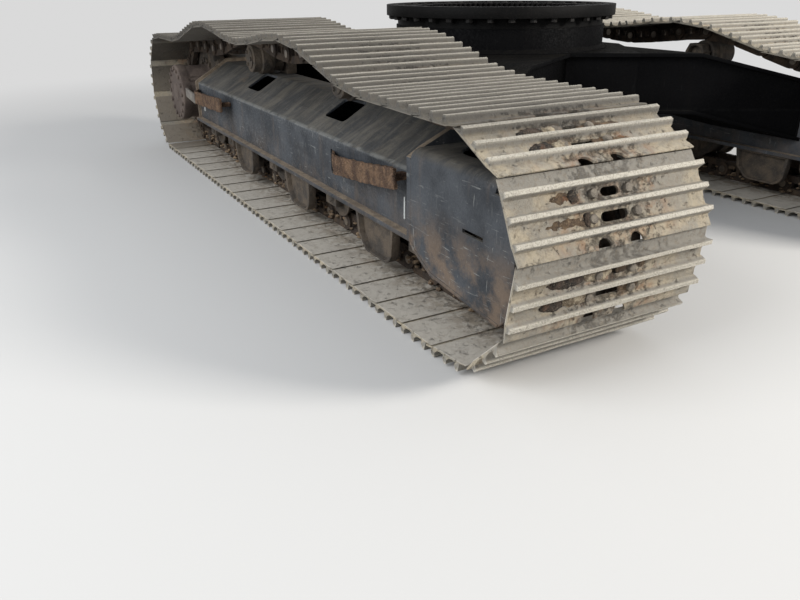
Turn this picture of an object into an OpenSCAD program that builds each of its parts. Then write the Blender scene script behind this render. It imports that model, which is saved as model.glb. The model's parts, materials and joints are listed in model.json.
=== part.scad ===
// Crawler excavator undercarriage: two track assemblies, an X shaped carbody
// and the slewing ring. +X points to the idlers, +Y to the left track and +Z up.
// The origin is on the ground under the middle of the undercarriage.

/* [Undercarriage] */
// Distance between the centre lines of the two tracks
gauge = 2590; // [2400:10:2900]
// Distance between the sprocket axle and the idler axle
axle_distance = 4038; // [3900:10:4300]

/* [Track shoes] */
// Number of shoes in one track
shoe_count = 48; // [44:1:52]
// Width of a shoe, across the track
shoe_width = 800; // [600:50:900]
// Thickness of a shoe's plate
plate_t = 12; // [8:1:18]
// Height of a grouser above the plate
grouser_h = 25; // [15:1:40]
// Width of a grouser at its tip
grouser_tip = 14; // [8:1:24]
// Number of grousers on a shoe
grousers = 3; // [2:1:3]
// Distance between two grousers of a shoe
grouser_step = 77; // [70:1:80]
// How far a shoe sits ahead of the middle of its link
shoe_shift = 4; // [0:1:12]

/* [Chain] */
// Pitch of the chain's links, from pin to pin
link_pitch = 215; // [200:1:228]
// Height of a link from its rail to its shoe
link_h = 110; // [95:1:125]
// Height of a pin above its link's rail
pin_h = 52; // [44:1:60]
// Clear width between the two rows of links
link_gap = 104; // [90:2:120]
// Width of one row of links
link_w = 58; // [40:2:70]
// Radius of the bushing that the sprocket drives
bushing_r = 30; // [24:1:34]

/* [Wheels] */
// Number of teeth on a sprocket, which meets a bushing at every second gap
sprocket_teeth = 21; // [19:2:23]
// Width of the sprocket's toothed ring
sprocket_w = 84; // [60:2:100]
// Height of a tooth above the pitch circle
tooth_h = 12; // [6:1:18]
// Radius of the idler's tread
idler_r = 280; // [250:5:310]
// Radius of a track roller's tread
roller_r = 90; // [75:1:105]
// Number of track rollers on one side
rollers = 8; // [7:1:9]
// Radius of a carrier roller's tread
carrier_r = 85; // [70:1:95]
// Height of the track where it passes over the rear carrier roller, inside the shoes
carrier_rear_z = 984; // [940:2:1000]
// Height of the track where it passes over the front carrier roller, inside the shoes
carrier_front_z = 978; // [940:2:1000]

/* [Track frame] */
// Thickness of the frame's plates
frame_t = 14; // [10:1:20]
// Height of the frame's underside
frame_z = 278; // [265:1:290]
// Half width of the frame over its side plates
frame_hw = 210; // [190:5:230]
// Half width of the frame over its bottom flanges
flange_hw = 249; // [240:1:260]
// Height at which the side plate turns into the sloped roof
eave_z = 545; // [500:5:580]
// Height of the roof's ridge
ridge_z = 683; // [660:1:700]
// Distance from the sprocket's axle to the rear end of the frame's box
rear_gap = 339; // [330:1:400]
// Distance from the idler's axle to the front end of the frame's box
front_gap = 471; // [460:1:520]
// Reach of the idler guard ahead of the idler's axle
guard_ahead = 220; // [200:1:235]
// Height of the idler guard's top plate
guard_z = 650; // [630:2:670]

/* [Carbody] */
// Height of the carbody's top plate
deck_z = 850; // [820:5:880]
// Depth of the carbody's box beams
beam_h = 330; // [290:5:350]
// Thickness of the carbody's webs
web_t = 22; // [16:1:40]
// Width of a leg
leg_w = 440; // [380:10:500]
// Angle of a leg from the direction of travel
leg_angle = 55.4; // [50:0.2:60]
// Reach of the point where the front webs meet
web_reach = 658; // [620:2:700]

/* [Slewing ring] */
// Outer radius of the tower below the ring
tower_r = 640; // [620:5:660]
// Thickness of the tower's wall
tower_t = 40; // [25:1:50]
// Height of the tower's top
tower_z = 980; // [960:5:1000]
// Overhang of the outer race beyond the tower
race_overhang = 60; // [50:1:80]
// Height of the outer race's top
race_z = 1095; // [1085:1:1105]
// Height of the outer race
race_h = 60; // [50:1:70]
// Distance from the outer race's edge in to its circle of bolts
race_bolt_in = 32; // [28:1:36]
// Number of bolt holes in the outer race
race_bolts = 36; // [24:2:40]
// Radius of a bolt hole in the outer race
race_hole_r = 13; // [10:0.5:15]
// Number of teeth inside the inner race
ring_teeth = 90; // [80:2:100]

/* [Hidden] */
$fn = 64;

// Gap between pieces that seat on one another, and in the ring's raceway
seat = 0.3;
race_gap = 1;

// Heights in the track, measured outwards from the line of the pins
shoe_in = link_h - pin_h;
shoe_out = shoe_in + plate_t;
grouser_out = shoe_out + grouser_h;
shoe_h = plate_t + grouser_h;

// The sprocket and the idler. A straight link lies on the wheel at its middle, so
// its pins stand further out than the line that the straight runs keep
tooth_angle = 360 / sprocket_teeth;
pitch_r = link_pitch / 2 / sin(tooth_angle);
sprocket_line = pitch_r * cos(tooth_angle);
idler_line = idler_r + pin_h;
idler_pin_r = norm([idler_line, link_pitch / 2]);
box_half = (axle_distance + sprocket_line + idler_line + 2 * grouser_out) / 2;
sprocket_x = -box_half + sprocket_line + grouser_out;
idler_x = sprocket_x + axle_distance;
line_z = grouser_out;
sprocket_z = line_z + sprocket_line;
idler_z = line_z + idler_line;
roller_z = shoe_h + link_h + seat + roller_r;
frame_rear = -sprocket_x - rear_gap;
frame_front = idler_x - front_gap;
guard_front = idler_x + guard_ahead;
race_r = tower_r + race_overhang;
race_bolt_r = race_r - race_bolt_in;

// The carrier rollers
carrier_rear_x = -730;
carrier_front_x = 600;

// Where the top run lies: along and height of the pins, from the idler to the sprocket
run_knots = [
    [idler_x + link_pitch / 2, idler_z + idler_line],
    [idler_x - 570, idler_z + idler_line + 6],
    [carrier_front_x, carrier_front_z - shoe_in],
    [(carrier_front_x + carrier_rear_x) / 2, carrier_front_z - shoe_in - 58],
    [carrier_rear_x, carrier_rear_z - shoe_in],
    [sprocket_x + 460, sprocket_z + sprocket_line],
    [sprocket_x - link_pitch / 2, sprocket_z + sprocket_line]];

// The line of the pins: rows of x, z and the links that the step up to there takes
run_steps = 12;
arc_steps = 24;
function straight_step(a, b) = [b[0], b[1], norm([b[0] - a[0], b[1] - a[1]]) / link_pitch];
function run_point(a, b, f) = [
    a[0] + (b[0] - a[0]) * f, a[1] + (b[1] - a[1]) * (1 - cos(180 * f)) / 2];
function wheel_arc(x, z, r, start) =
    let (half = asin(link_pitch / 2 / r), sweep = 180 - 2 * half)
    [for (i = [1 : arc_steps])
        let (a = start + half + sweep * i / arc_steps)
        [x + r * sin(a), z - r * cos(a), sweep / arc_steps / (2 * half)]];
line_points = concat(
    [[sprocket_x - link_pitch / 2, line_z, 0]],
    [straight_step([sprocket_x - link_pitch / 2, line_z], [idler_x + link_pitch / 2, line_z])],
    wheel_arc(idler_x, idler_z, idler_pin_r, 0),
    [for (k = [0 : len(run_knots) - 2], i = [1 : run_steps])
        straight_step(run_point(run_knots[k], run_knots[k + 1], (i - 1) / run_steps),
                      run_point(run_knots[k], run_knots[k + 1], i / run_steps))],
    wheel_arc(sprocket_x, sprocket_z, pitch_r, 180));
function running_sum(i, total) =
    i == len(line_points) ? []
    : let (now = total + line_points[i][2]) concat([now], running_sum(i + 1, now));
line_links = concat([0], running_sum(1, 0));
loop_links = line_links[len(line_links) - 1];
table_x = [for (i = [0 : len(line_points) - 1]) [line_links[i], line_points[i][0]]];
table_z = [for (i = [0 : len(line_points) - 1]) [line_links[i], line_points[i][1]]];
pins = [for (i = [0 : shoe_count - 1])
    let (s = i * loop_links / shoe_count) [lookup(s, table_x), lookup(s, table_z)]];

// Shoe i lies between pin i and the next. A point of it is given from its middle,
// along it and outwards from the line of its pins
function pin(i) = pins[(i + shoe_count) % shoe_count];
function unit(v) = v / norm(v);
function shoe_dir(i) = unit(pin(i + 1) - pin(i));
function outwards(d) = [d[1], -d[0]];
function shoe_point(i, along, out) =
    (pin(i) + pin(i + 1)) / 2 + along * shoe_dir(i) + out * outwards(shoe_dir(i));
// The point at the pin between shoe i and the next
function joint_point(i, out) =
    pin(i + 1) + out * outwards(unit(shoe_dir(i) + shoe_dir(i + 1)));
function joint_loop(out) = [for (i = [0 : shoe_count - 1]) joint_point(i, out)];

// The largest wheel at a centre that fits inside the chain as it is laid there
function line_distance(i, x, z) =
    abs((pin(i)[0] - x) * shoe_dir(i)[1] - (pin(i)[1] - z) * shoe_dir(i)[0]);
idler_tread_r = min([
    for (i = [0 : shoe_count - 1])
        if (pin(i)[0] > idler_x - link_pitch || pin(i + 1)[0] > idler_x - link_pitch)
        line_distance(i, idler_x, idler_z)]) - pin_h - seat;
// Height at which a wheel of radius r under the top run touches the rails over x
function under_run(x, r) = min([
    for (i = [0 : shoe_count - 1])
        if (shoe_dir(i)[0] < -0.5 && abs((pin(i)[0] + pin(i + 1)[0]) / 2 - x) < link_pitch)
        pin(i)[1] + (x - pin(i)[0]) * shoe_dir(i)[1] / shoe_dir(i)[0]
            + (pin_h + r + seat) / shoe_dir(i)[0]]);

// Middle of a grouser, along its shoe. The lip of a shoe covers the leading edge of
// the shoe behind it and ends just short of that shoe's last grouser
function grouser_at(g) = shoe_shift + (g - (grousers - 1) / 2) * grouser_step;
draft = 1;
lip_clear = 10;
foot_at = grouser_at(grousers - 1) + grouser_tip / 2 + draft;
lip_at = foot_at + lip_clear - link_pitch * loop_links / shoe_count;
valley_out = shoe_out - 2;
lip_out = shoe_out - 4;
foot_out = shoe_out - 8;
shoe_outline = [for (i = [0 : shoe_count - 1]) each concat(
    [shoe_point(i, lip_at, lip_out)],
    [for (g = [0 : grousers - 1]) each concat(
        [shoe_point(i, grouser_at(g) - grouser_tip / 2, grouser_out),
         shoe_point(i, grouser_at(g) + grouser_tip / 2, grouser_out)],
        g < grousers - 1 ? [shoe_point(i, grouser_at(g) + grouser_step / 2, valley_out)] : [])],
    [shoe_point(i, foot_at, foot_out)])];

// Draws its child, outboard along +Y, at the left or the right track
module at_side(side) {
    if (side > 0) translate([0, gauge / 2, 0]) children();
    else mirror([0, 1, 0]) translate([0, gauge / 2, 0]) children();
}
// Extrudes an outline of x and z from y0 to y1
module across(y0, y1) {
    translate([0, y1, 0]) rotate([90, 0, 0]) linear_extrude(y1 - y0) children();
}
// Extrudes an outline of y and z from x0 to x1
module along(x0, x1) {
    translate([x0, 0, 0]) rotate([90, 0, 90]) linear_extrude(x1 - x0) children();
}
// A cylinder round the Y axis
module disc(r, y0, y1) {
    translate([0, y1, 0]) rotate([90, 0, 0]) cylinder(r = r, h = y1 - y0);
}
// A flat rectangle with round corners
module rounded_slot(length, width, r) {
    square([length, width - 2 * r], center = true);
    square([length - 2 * r, width], center = true);
    for (dx = [-1, 1], dy = [-1, 1])
        translate([dx * (length / 2 - r), dy * (width / 2 - r)]) circle(r);
}
// Points of an arc round a centre
function arc(x, z, r, from, to, steps = 6) =
    [for (i = [0 : steps])
        let (a = from + (to - from) * i / steps) [x + r * cos(a), z + r * sin(a)]];
// A revolved outline of radius and y
module turned_y(outline) {
    rotate([-90, 0, 0]) rotate_extrude() polygon(outline);
}

module track_shoes() color("#8f877b")
    across(-shoe_width / 2, shoe_width / 2)
    difference() {
        polygon(shoe_outline);
        polygon(joint_loop(shoe_in));
    }

module track_chain() color("#5c4a3c")
    for (side = [-1, 1])
        across(side > 0 ? link_gap / 2 : -link_gap / 2 - link_w,
               side > 0 ? link_gap / 2 + link_w : -link_gap / 2)
        difference() {
            polygon(joint_loop(shoe_in));
            polygon(joint_loop(-pin_h));
        }

// The sprocket turns with the hub's flange, which it is bolted to. Its gaps meet the pins
driven_pin = pin(shoe_count - 3);
tooth_phase = -atan2(driven_pin[1] - sprocket_z, driven_pin[0] - sprocket_x);
drive_flange_r = 252;
hub_r = 200;
tip_r = pitch_r + tooth_h;
tooth_taper = 14;
module sprocket() color("#4a4038")
    translate([sprocket_x, 0, sprocket_z])
    difference() {
        turned_y([
            [hub_r + seat, -sprocket_w / 2], [pitch_r - bushing_r, -sprocket_w / 2],
            [tip_r, -sprocket_w / 2 + tooth_taper], [tip_r, sprocket_w / 2 - tooth_taper],
            [pitch_r - bushing_r, sprocket_w / 2], [hub_r + seat, sprocket_w / 2]]);
        for (i = [0 : sprocket_teeth - 1])
            rotate([0, i * tooth_angle + tooth_phase, 0])
            translate([pitch_r, 0, 0])
            disc(bushing_r + 2, -sprocket_w, sprocket_w);
    }

// Final drive: a fixed flange on the frame, the flange that carries the sprocket,
// the ring gear's drum and the flanged cover
mount_plate_y = [-130, -90];
cover_y = 299;
drive_cover_r = 205;
drum_r = 194;
drum_y = 215;
cap_r = 66;
cap_h = 8;
sprocket_flange_t = 22;
module final_drive() color("#6e6058")
    translate([sprocket_x, 0, sprocket_z])
    turned_y([
        [0, mount_plate_y[1] + seat], [drive_flange_r, mount_plate_y[1] + seat],
        [drive_flange_r, -sprocket_w / 2 - sprocket_flange_t],
        [drive_flange_r - 14, -sprocket_w / 2 - sprocket_flange_t + 4],
        [drive_flange_r - 14, -sprocket_w / 2 - seat], [hub_r, -sprocket_w / 2 - seat],
        [hub_r, sprocket_w / 2 + 4], [drum_r, sprocket_w / 2 + sprocket_flange_t],
        [drum_r, drum_y], [drive_cover_r, drum_y + 25], [drive_cover_r, cover_y - cap_h],
        [drive_cover_r - cap_h, cover_y], [cap_r + 6, cover_y], [cap_r - 6, cover_y + cap_h],
        [0, cover_y + cap_h]]);

// The travel motor, with its valve block, and the guard of bent plate round it
motor_end_y = -350;
motor_r = 135;
motor_flange_r = 165;
valve = [210, 150, 130];
module travel_motor() color("#2b2e30")
    translate([sprocket_x, 0, sprocket_z]) {
        turned_y([
            [0, motor_end_y], [motor_r - 25, motor_end_y], [motor_r, motor_end_y + 25],
            [motor_r, motor_end_y + 110], [motor_flange_r, motor_end_y + 130],
            [motor_flange_r, mount_plate_y[0] - seat], [0, mount_plate_y[0] - seat]]);
        translate([motor_r / 2, motor_end_y + 15, -valve[2] / 2]) cube(valve);
    }
guard_reach = 245;
guard_end_y = -385;
guard_t = 10;
function motor_guard_line(t) = [
    [-frame_rear - end_t - seat, sprocket_z + guard_reach - t],
    [sprocket_x - guard_reach / 2, sprocket_z + guard_reach - t],
    [sprocket_x - guard_reach + t, sprocket_z + guard_reach / 2],
    [sprocket_x - guard_reach + t, sprocket_z - guard_reach / 2],
    [sprocket_x - guard_reach / 2, sprocket_z - guard_reach + t],
    [sprocket_x + guard_reach / 2, sprocket_z - guard_reach + t]];
module motor_guard() color("#2d3238")
    across(guard_end_y, mount_plate_y[0] - seat)
    polygon(concat(motor_guard_line(0), [for (i = [5 : -1 : 0]) motor_guard_line(guard_t)[i]]));

// Outline of the track frame's box, from y to z, cut back by a wall t
roof_in = -170;
roof_out = -20;
hip_z = ridge_z - 45;
// The bay under the box that the track rollers stand up into
bay_hw = 152;
roller_flange = 18;
bay_z = roller_z + roller_r + roller_flange + 8;
rear_block = 100;
rail_t = 20;
end_t = 16;
end_proud = 24;
front_plate_t = 30;
front_plate_z = ridge_z + 22;
front_top_y = 68;
front_corner = [flange_hw - 56, front_plate_z - 57];
front_ear_z = front_plate_z - 91;
function frame_section(t) = [
    [-frame_hw + t, frame_z + t], [-bay_hw - t, frame_z + t], [-bay_hw - t, bay_z + t],
    [bay_hw + t, bay_z + t], [bay_hw + t, frame_z + t], [frame_hw - t, frame_z + t],
    [frame_hw - t, eave_z - t * 0.3], [roof_out - t * 0.3, ridge_z - t],
    [roof_in + t * 0.4, ridge_z - t], [-frame_hw + t, hip_z - t * 0.3]];
// Mud holes in the roof: x of the middle. The slot behind the front step: x and height
mud_holes = [carrier_rear_x + 65, carrier_front_x - 15];
mud_hole = [232, 138];
mud_hole_y = 47;
mud_hole_corner = 26;
step_slot = [carrier_front_x + 157, frame_z + 156];
step_slot_size = [25, 118];
drive_plate_r = 270;
slot_clear = 16;
module track_frame() color("#2d3238") {
    difference() {
        union() {
            along(-frame_rear, frame_front) polygon(frame_section(0));
            // Rails that the rollers and the chain guards are bolted to
            for (side = [-1, 1])
                translate([-frame_rear, side > 0 ? bay_hw : -flange_hw, frame_z])
                cube([frame_rear + frame_front, flange_hw - bay_hw, rail_t]);
            // Transverse plate at the rear, proud of the roof and the side
            along(-frame_rear - end_t, -frame_rear)
                polygon([
                    [-frame_hw, frame_z], [-bay_hw, frame_z], [-bay_hw, bay_z], [bay_hw, bay_z],
                    [bay_hw, frame_z], [frame_hw + end_t, frame_z], [frame_hw + end_t, eave_z + 12],
                    [roof_out, ridge_z + end_proud], [-frame_hw, ridge_z + end_proud]]);
        }
        along(-frame_rear + rear_block, frame_front - frame_t) polygon(frame_section(frame_t));
        // Slot that the sprocket's teeth run in
        translate([sprocket_x, 0, sprocket_z])
            disc(tip_r + slot_clear, -sprocket_w / 2 - slot_clear, sprocket_w / 2 + slot_clear);
        for (x = mud_holes)
            translate([x, mud_hole_y, eave_z]) linear_extrude(ridge_z)
            rounded_slot(mud_hole[0], mud_hole[1], mud_hole_corner);
        translate([step_slot[0], 0, step_slot[1]]) rotate([90, 0, 0])
            translate([0, 0, -frame_hw - 1]) linear_extrude(frame_t + 2)
            rounded_slot(step_slot_size[0], step_slot_size[1], 10);
    }
    // Transverse plate at the front, proud of the box
    along(frame_front, frame_front + front_plate_t)
        polygon([
            [-flange_hw, frame_z], [-bay_hw, frame_z], [-bay_hw, bay_z], [bay_hw, bay_z],
            [bay_hw, frame_z], [flange_hw, frame_z], [flange_hw, front_ear_z], front_corner,
            [front_top_y, front_plate_z], [roof_in, front_plate_z], [-flange_hw, front_corner[1]]]);
    // Plate that the final drive and the travel motor are bolted to
    across(mount_plate_y[0], mount_plate_y[1]) {
        translate([sprocket_x, sprocket_z]) circle(drive_plate_r);
        polygon([
            [sprocket_x, sprocket_z - drive_plate_r], [sprocket_x, sprocket_z + drive_plate_r],
            [-frame_rear - end_t, ridge_z + end_proud], [-frame_rear - end_t, frame_z]]);
    }
}

// The idler guard: side plates whose top edge is rolled inwards, and a top plate
// that is open over the idler. Its lower edge follows the chain
guard_x0 = frame_front + front_plate_t;
guard_low = [
    [guard_x0, frame_z - 6], [guard_x0 + 30, frame_z - 31], [guard_x0 + 153, frame_z - 90],
    [idler_x + 148, frame_z - 127]];
guard_chin_z = frame_z - 63;
guard_roll = 46;
guard_nose_r = 120;
guard_top_front = idler_x + 103;
// The opening over the idler: where it starts, its length and its width
guard_opening = [guard_x0 + 82, 640, 264];
edge_bar = 26;
axle_slot = [idler_x - 18, idler_z + 3];
axle_slot_size = [123, 16];
module idler_guard() color("#2d3238") {
    for (side = [-1, 1])
        across(side > 0 ? flange_hw - frame_t : -flange_hw,
               side > 0 ? flange_hw : -flange_hw + frame_t)
        difference() {
            polygon(concat(
                guard_low, [[guard_front, guard_chin_z]],
                arc(guard_front - guard_nose_r, guard_z - guard_roll - guard_nose_r, guard_nose_r, 0, 90),
                [[guard_x0, guard_z - guard_roll]]));
            translate(axle_slot) square(axle_slot_size, center = true);
        }
    // Bars along the lower edges
    for (side = [-1, 1])
        across(side > 0 ? flange_hw - edge_bar : -flange_hw - 4, side > 0 ? flange_hw + 4 : -flange_hw + edge_bar)
        polygon(concat(guard_low, [for (i = [3 : -1 : 0]) guard_low[i] + [4, frame_t]]));
    // The rolled edges and the top plate
    difference() {
        along(guard_x0, guard_top_front)
            polygon(concat(
                arc(flange_hw - guard_roll, guard_z - guard_roll, guard_roll, 0, 90),
                arc(-flange_hw + guard_roll, guard_z - guard_roll, guard_roll, 90, 180),
                arc(-flange_hw + guard_roll, guard_z - guard_roll, guard_roll - frame_t, 180, 90),
                arc(flange_hw - guard_roll, guard_z - guard_roll, guard_roll - frame_t, 90, 0)));
        translate([guard_opening[0] + guard_opening[1] / 2, 0, guard_z - frame_t - 1])
            linear_extrude(frame_t + 2)
            rounded_slot(guard_opening[1], guard_opening[2], guard_opening[2] / 2 - 1);
    }
}

idler_hub_r = 95;
idler_hub_hw = 118;
idler_rim_hw = 100;
idler_rim_t = 46;
idler_bore_r = 52;
guide_h = 22;
module idler() color("#4d443c")
    translate([idler_x, 0, idler_z])
    turned_y([
        [idler_bore_r, -idler_hub_hw], [idler_hub_r, -idler_hub_hw], [idler_hub_r, -60],
        [idler_tread_r - idler_rim_t - 8, -44], [idler_tread_r - idler_rim_t, -idler_rim_hw],
        [idler_tread_r - 4, -idler_rim_hw], [idler_tread_r, -idler_rim_hw + 4],
        [idler_tread_r, -link_gap / 2 + 6], [idler_tread_r + guide_h, -link_gap / 2 + 14],
        [idler_tread_r + guide_h, link_gap / 2 - 14], [idler_tread_r, link_gap / 2 - 6],
        [idler_tread_r, idler_rim_hw - 4], [idler_tread_r - 4, idler_rim_hw],
        [idler_tread_r - idler_rim_t, idler_rim_hw], [idler_tread_r - idler_rim_t - 8, 44],
        [idler_hub_r, 60], [idler_hub_r, idler_hub_hw], [idler_bore_r, idler_hub_hw]]);

// Axle, the two bearing blocks, the fork behind them and the tension rod
block_y = [122, 190];
block_size = [220, 150];
fork_reach = 400;
fork_h = 90;
rod_r = 45;
module idler_yoke() color("#3a342e") {
    translate([idler_x, 0, idler_z]) disc(idler_bore_r - seat, -block_y[1], block_y[1]);
    for (side = [-1, 1])
        across(side > 0 ? block_y[0] : -block_y[1], side > 0 ? block_y[1] : -block_y[0])
        translate([idler_x, idler_z])
        polygon([
            [-fork_reach, -fork_h / 2], [-block_size[0] / 2, -fork_h / 2],
            [-block_size[0] / 2, -block_size[1] / 2], [block_size[0] / 2, -block_size[1] / 2],
            [block_size[0] / 2, block_size[1] / 2], [-block_size[0] / 2, block_size[1] / 2],
            [-block_size[0] / 2, fork_h / 2], [-fork_reach, fork_h / 2]]);
    translate([idler_x - fork_reach, -block_y[1], idler_z - fork_h / 2 - 15])
        cube([50, 2 * block_y[1], fork_h + 30]);
    translate([guard_x0 + seat, 0, idler_z]) rotate([0, 90, 0])
        cylinder(r = rod_r, h = idler_x - fork_reach + 5 - guard_x0);
}

// A track roller: two treads with flanges outside them, and the collars of its shaft
roller_hw = 150;
tread_in = 46;
tread_out = 116;
collar = [120, 40, 42];
roller_boss_r = [62, 78];
roller_waist = 14;
// Half of a track roller's outline, from the middle outwards: radius and distance
roller_half = [
    [roller_r - roller_waist, tread_in - 6], [roller_r, tread_in], [roller_r, tread_out],
    [roller_r + roller_flange, tread_out + 12], [roller_r + roller_flange, roller_hw - 12],
    [roller_boss_r[1], roller_hw - 10], [roller_boss_r[0], roller_hw], [0, roller_hw]];
module track_roller() {
    turned_y(concat(
        roller_half,
        [for (i = [len(roller_half) - 1 : -1 : 0]) [roller_half[i][0], -roller_half[i][1]]]));
    for (side = [-1, 1])
        translate([-collar[0] / 2, side > 0 ? roller_hw : -roller_hw - collar[1], -collar[2]])
        cube([collar[0], collar[1], frame_z - roller_z - seat + collar[2]]);
}
roller_x0 = sprocket_x + 560;
roller_x1 = idler_x - 500;
function roller_at(i) = roller_x0 + (roller_x1 - roller_x0) * i / (rollers - 1);
module track_rollers() color("#443c35")
    for (i = [0 : rollers - 1])
        translate([roller_at(i), 0, roller_z]) track_roller();

// Chain guards: a shaped plate that hangs beside the links, with a rim round it
guard_step = 910;
guard_places = [for (i = [-1 : 1]) idler_x - 1702 + i * guard_step];
chain_guard_y = 196;
chain_guard_t = 12;
chain_rim_w = 40;
chain_guard_hw = 176;
chain_guard_drop = 172;
corner_r = [66, 76];
chain_guard_outline = concat(
    [[-chain_guard_hw, 0], [-chain_guard_hw + 22, -chain_guard_drop + corner_r[0]]],
    arc(-60, -chain_guard_drop + corner_r[0], corner_r[0], 215, 270, 3),
    arc(90, -chain_guard_drop + corner_r[1], corner_r[1], 280, 340, 3),
    [[chain_guard_hw - 6, -60], [chain_guard_hw, 0]]);
rim_scale = 0.88;
module chain_guard() {
    across(0, chain_guard_t) polygon(chain_guard_outline);
    across(0, chain_rim_w)
        difference() {
            polygon(chain_guard_outline);
            translate([0, -chain_guard_t]) scale(rim_scale) polygon(chain_guard_outline);
        }
}
module chain_guards() color("#33302c")
    for (x = guard_places) {
        translate([x, chain_guard_y, frame_z - seat]) chain_guard();
        mirror([0, 1, 0]) translate([x, chain_guard_y, frame_z - seat]) chain_guard();
    }

// A carrier roller that a stub carries out from its bracket on the ridge
stub_r = 55;
carrier_in = -104;
carrier_out = 96;
// The flange that guides the chain runs between its two rows of links
carrier_guide = [link_gap / 2 - 14, 14];
carrier_cap = [61, 8];
bracket = [140, 66];
module carrier_roller(x) color("#4d443c") {
    z = under_run(x, carrier_r);
    translate([x, 0, z])
        turned_y([
            [0, -150], [stub_r, -150], [stub_r, carrier_in], [carrier_r, carrier_in + 4],
            [carrier_r, -carrier_guide[0] - 6], [carrier_r + carrier_guide[1], -carrier_guide[0]],
            [carrier_r + carrier_guide[1], carrier_guide[0]], [carrier_r, carrier_guide[0] + 6],
            [carrier_r, carrier_out - 4], [carrier_r - 4, carrier_out],
            [carrier_cap[0], carrier_out], [carrier_cap[0], carrier_out + carrier_cap[1]],
            [0, carrier_out + carrier_cap[1]]]);
    difference() {
        translate([x, -122, 0]) mirror([0, 1, 0]) across(0, bracket[1])
            polygon([
                [-bracket[0] / 2, ridge_z + seat], [bracket[0] / 2, ridge_z + seat],
                [stub_r + 16, z + 20], [stub_r - 10, z + stub_r + 12], [-stub_r + 10, z + stub_r + 12],
                [-stub_r - 16, z + 20]]);
        translate([x, 0, z]) disc(stub_r + seat, -200, 0);
    }
}

// Steps of flat bar that lean out from the side plate. Rows: x of the fixed and of the
// free end, and the height of the bar's middle at both
step_t = 20;
step_h = 90;
step_y = 300;
step_lean = 0.26;
step_bracket = [60, 30];
step_rows = [
    [step_slot[0] + step_slot_size[0] / 2 + 2, frame_front - 10, frame_z + 170, frame_z + 250],
    [-frame_rear + 4, carrier_rear_x - 90, frame_z + 184, frame_z + 216]];
module step(length) {
    lean = length * step_lean;
    translate([0, 0, -step_h / 2]) linear_extrude(step_h)
        polygon([
            [0, frame_hw + seat], [step_t, frame_hw + seat], [lean, step_y - step_t],
            [length, step_y - step_t], [length, step_y], [lean - 12, step_y]]);
    // Bracket behind the free end
    translate([length - 1.5 * step_bracket[0], frame_hw + seat, -step_bracket[1] / 2])
        cube([step_bracket[0], step_y - step_t - frame_hw, step_bracket[1]]);
}
module steps() color("#78553f")
    for (row = step_rows) {
        rise = atan2(row[3] - row[2], row[1] - row[0]);
        translate([row[0], 0, row[2]]) rotate([0, -rise, 0]) step(row[1] - row[0]);
    }

// The carbody: a point of a front left web, and the flanges that overhang the webs
leg_dir = [cos(leg_angle), sin(leg_angle)];
leg_out = [-sin(leg_angle), cos(leg_angle)];
leg_start = 400;
function web_point(t, w) = [
    web_reach + leg_dir[0] * t + leg_out[0] * w, leg_dir[1] * t + leg_out[1] * w];
beam_z = deck_z - beam_h;
deck_t = 20;
deck_lip = 24;
side_y = 690;
side_x = 330;
leg_foot_y = gauge / 2 - frame_hw - seat;
kink_y = 590;
leg_drop = 0.29;
leg_reach = (leg_foot_y + 60) / leg_dir[1];
// Corners of a quarter of the centre box, grown by a lip or cut back by a wall
function centre_quarter(lip) = let (end = leg_start - seat + min(lip, 0)) [
    [web_reach + lip * 1.2, 0], web_point(end, -lip), web_point(end, leg_w + lip),
    [side_x, side_y + lip]];
function centre_outline(lip) = let (q = centre_quarter(lip)) concat(
    q, [for (i = [3 : -1 : 0]) [-q[i][0], q[i][1]]],
    [for (i = [1 : 3]) [-q[i][0], -q[i][1]]], [for (i = [3 : -1 : 1]) [q[i][0], -q[i][1]]]);
cover_r = 330;
cover_hole_r = 290;
module carbody_centre() color("#17191b")
    difference() {
        union() {
            translate([0, 0, beam_z]) linear_extrude(beam_h) polygon(centre_outline(0));
            for (z = [beam_z, deck_z - deck_t])
                translate([0, 0, z]) linear_extrude(deck_t) polygon(centre_outline(deck_lip));
        }
        translate([0, 0, beam_z + deck_t]) linear_extrude(beam_h - 2 * deck_t)
            polygon(centre_outline(-web_t));
        translate([0, 0, beam_z - 1]) cylinder(r = cover_hole_r, h = deck_t + 2);
        translate([0, 0, deck_z - deck_t - 1]) cylinder(r = swivel_hole_r, h = deck_t + 2);
    }
cover_t = 12;
module bottom_cover() color("#1d1f21")
    translate([0, 0, beam_z - cover_t - seat]) cylinder(r = cover_r, h = cover_t);

// Side view of a leg between two heights under its top
module leg_side(top, bottom) {
    rotate([90, 0, 90]) linear_extrude(2 * web_reach + leg_reach)
        polygon([
            [0, deck_z - top], [kink_y, deck_z - top],
            [leg_foot_y, deck_z - top - (leg_foot_y - kink_y) * leg_drop],
            [leg_foot_y, deck_z - bottom - (leg_foot_y - kink_y) * leg_drop],
            [kink_y, deck_z - bottom], [0, deck_z - bottom]]);
}
module leg_plan(lip) {
    linear_extrude(2 * deck_z)
        polygon([
            web_point(leg_start, -lip), web_point(leg_reach, -lip),
            web_point(leg_reach + leg_w, leg_w + lip), web_point(leg_start, leg_w + lip)]);
}
module leg() color("#17191b") {
    intersection() {
        leg_plan(0);
        leg_side(0, beam_h);
    }
    intersection() {
        leg_plan(deck_lip);
        leg_side(0, deck_t);
    }
    intersection() {
        leg_plan(deck_lip);
        leg_side(beam_h - deck_t, beam_h);
    }
}

tower_foot = [24, 22];
module tower() color("#1b1d1f")
    translate([0, 0, deck_z + seat])
    rotate_extrude()
    polygon([
        [tower_r - tower_t, 0], [tower_r + tower_foot[0], 0], [tower_r, tower_foot[1]],
        [tower_r, tower_z - deck_z - seat], [tower_r - tower_t, tower_z - deck_z - seat]]);

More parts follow.
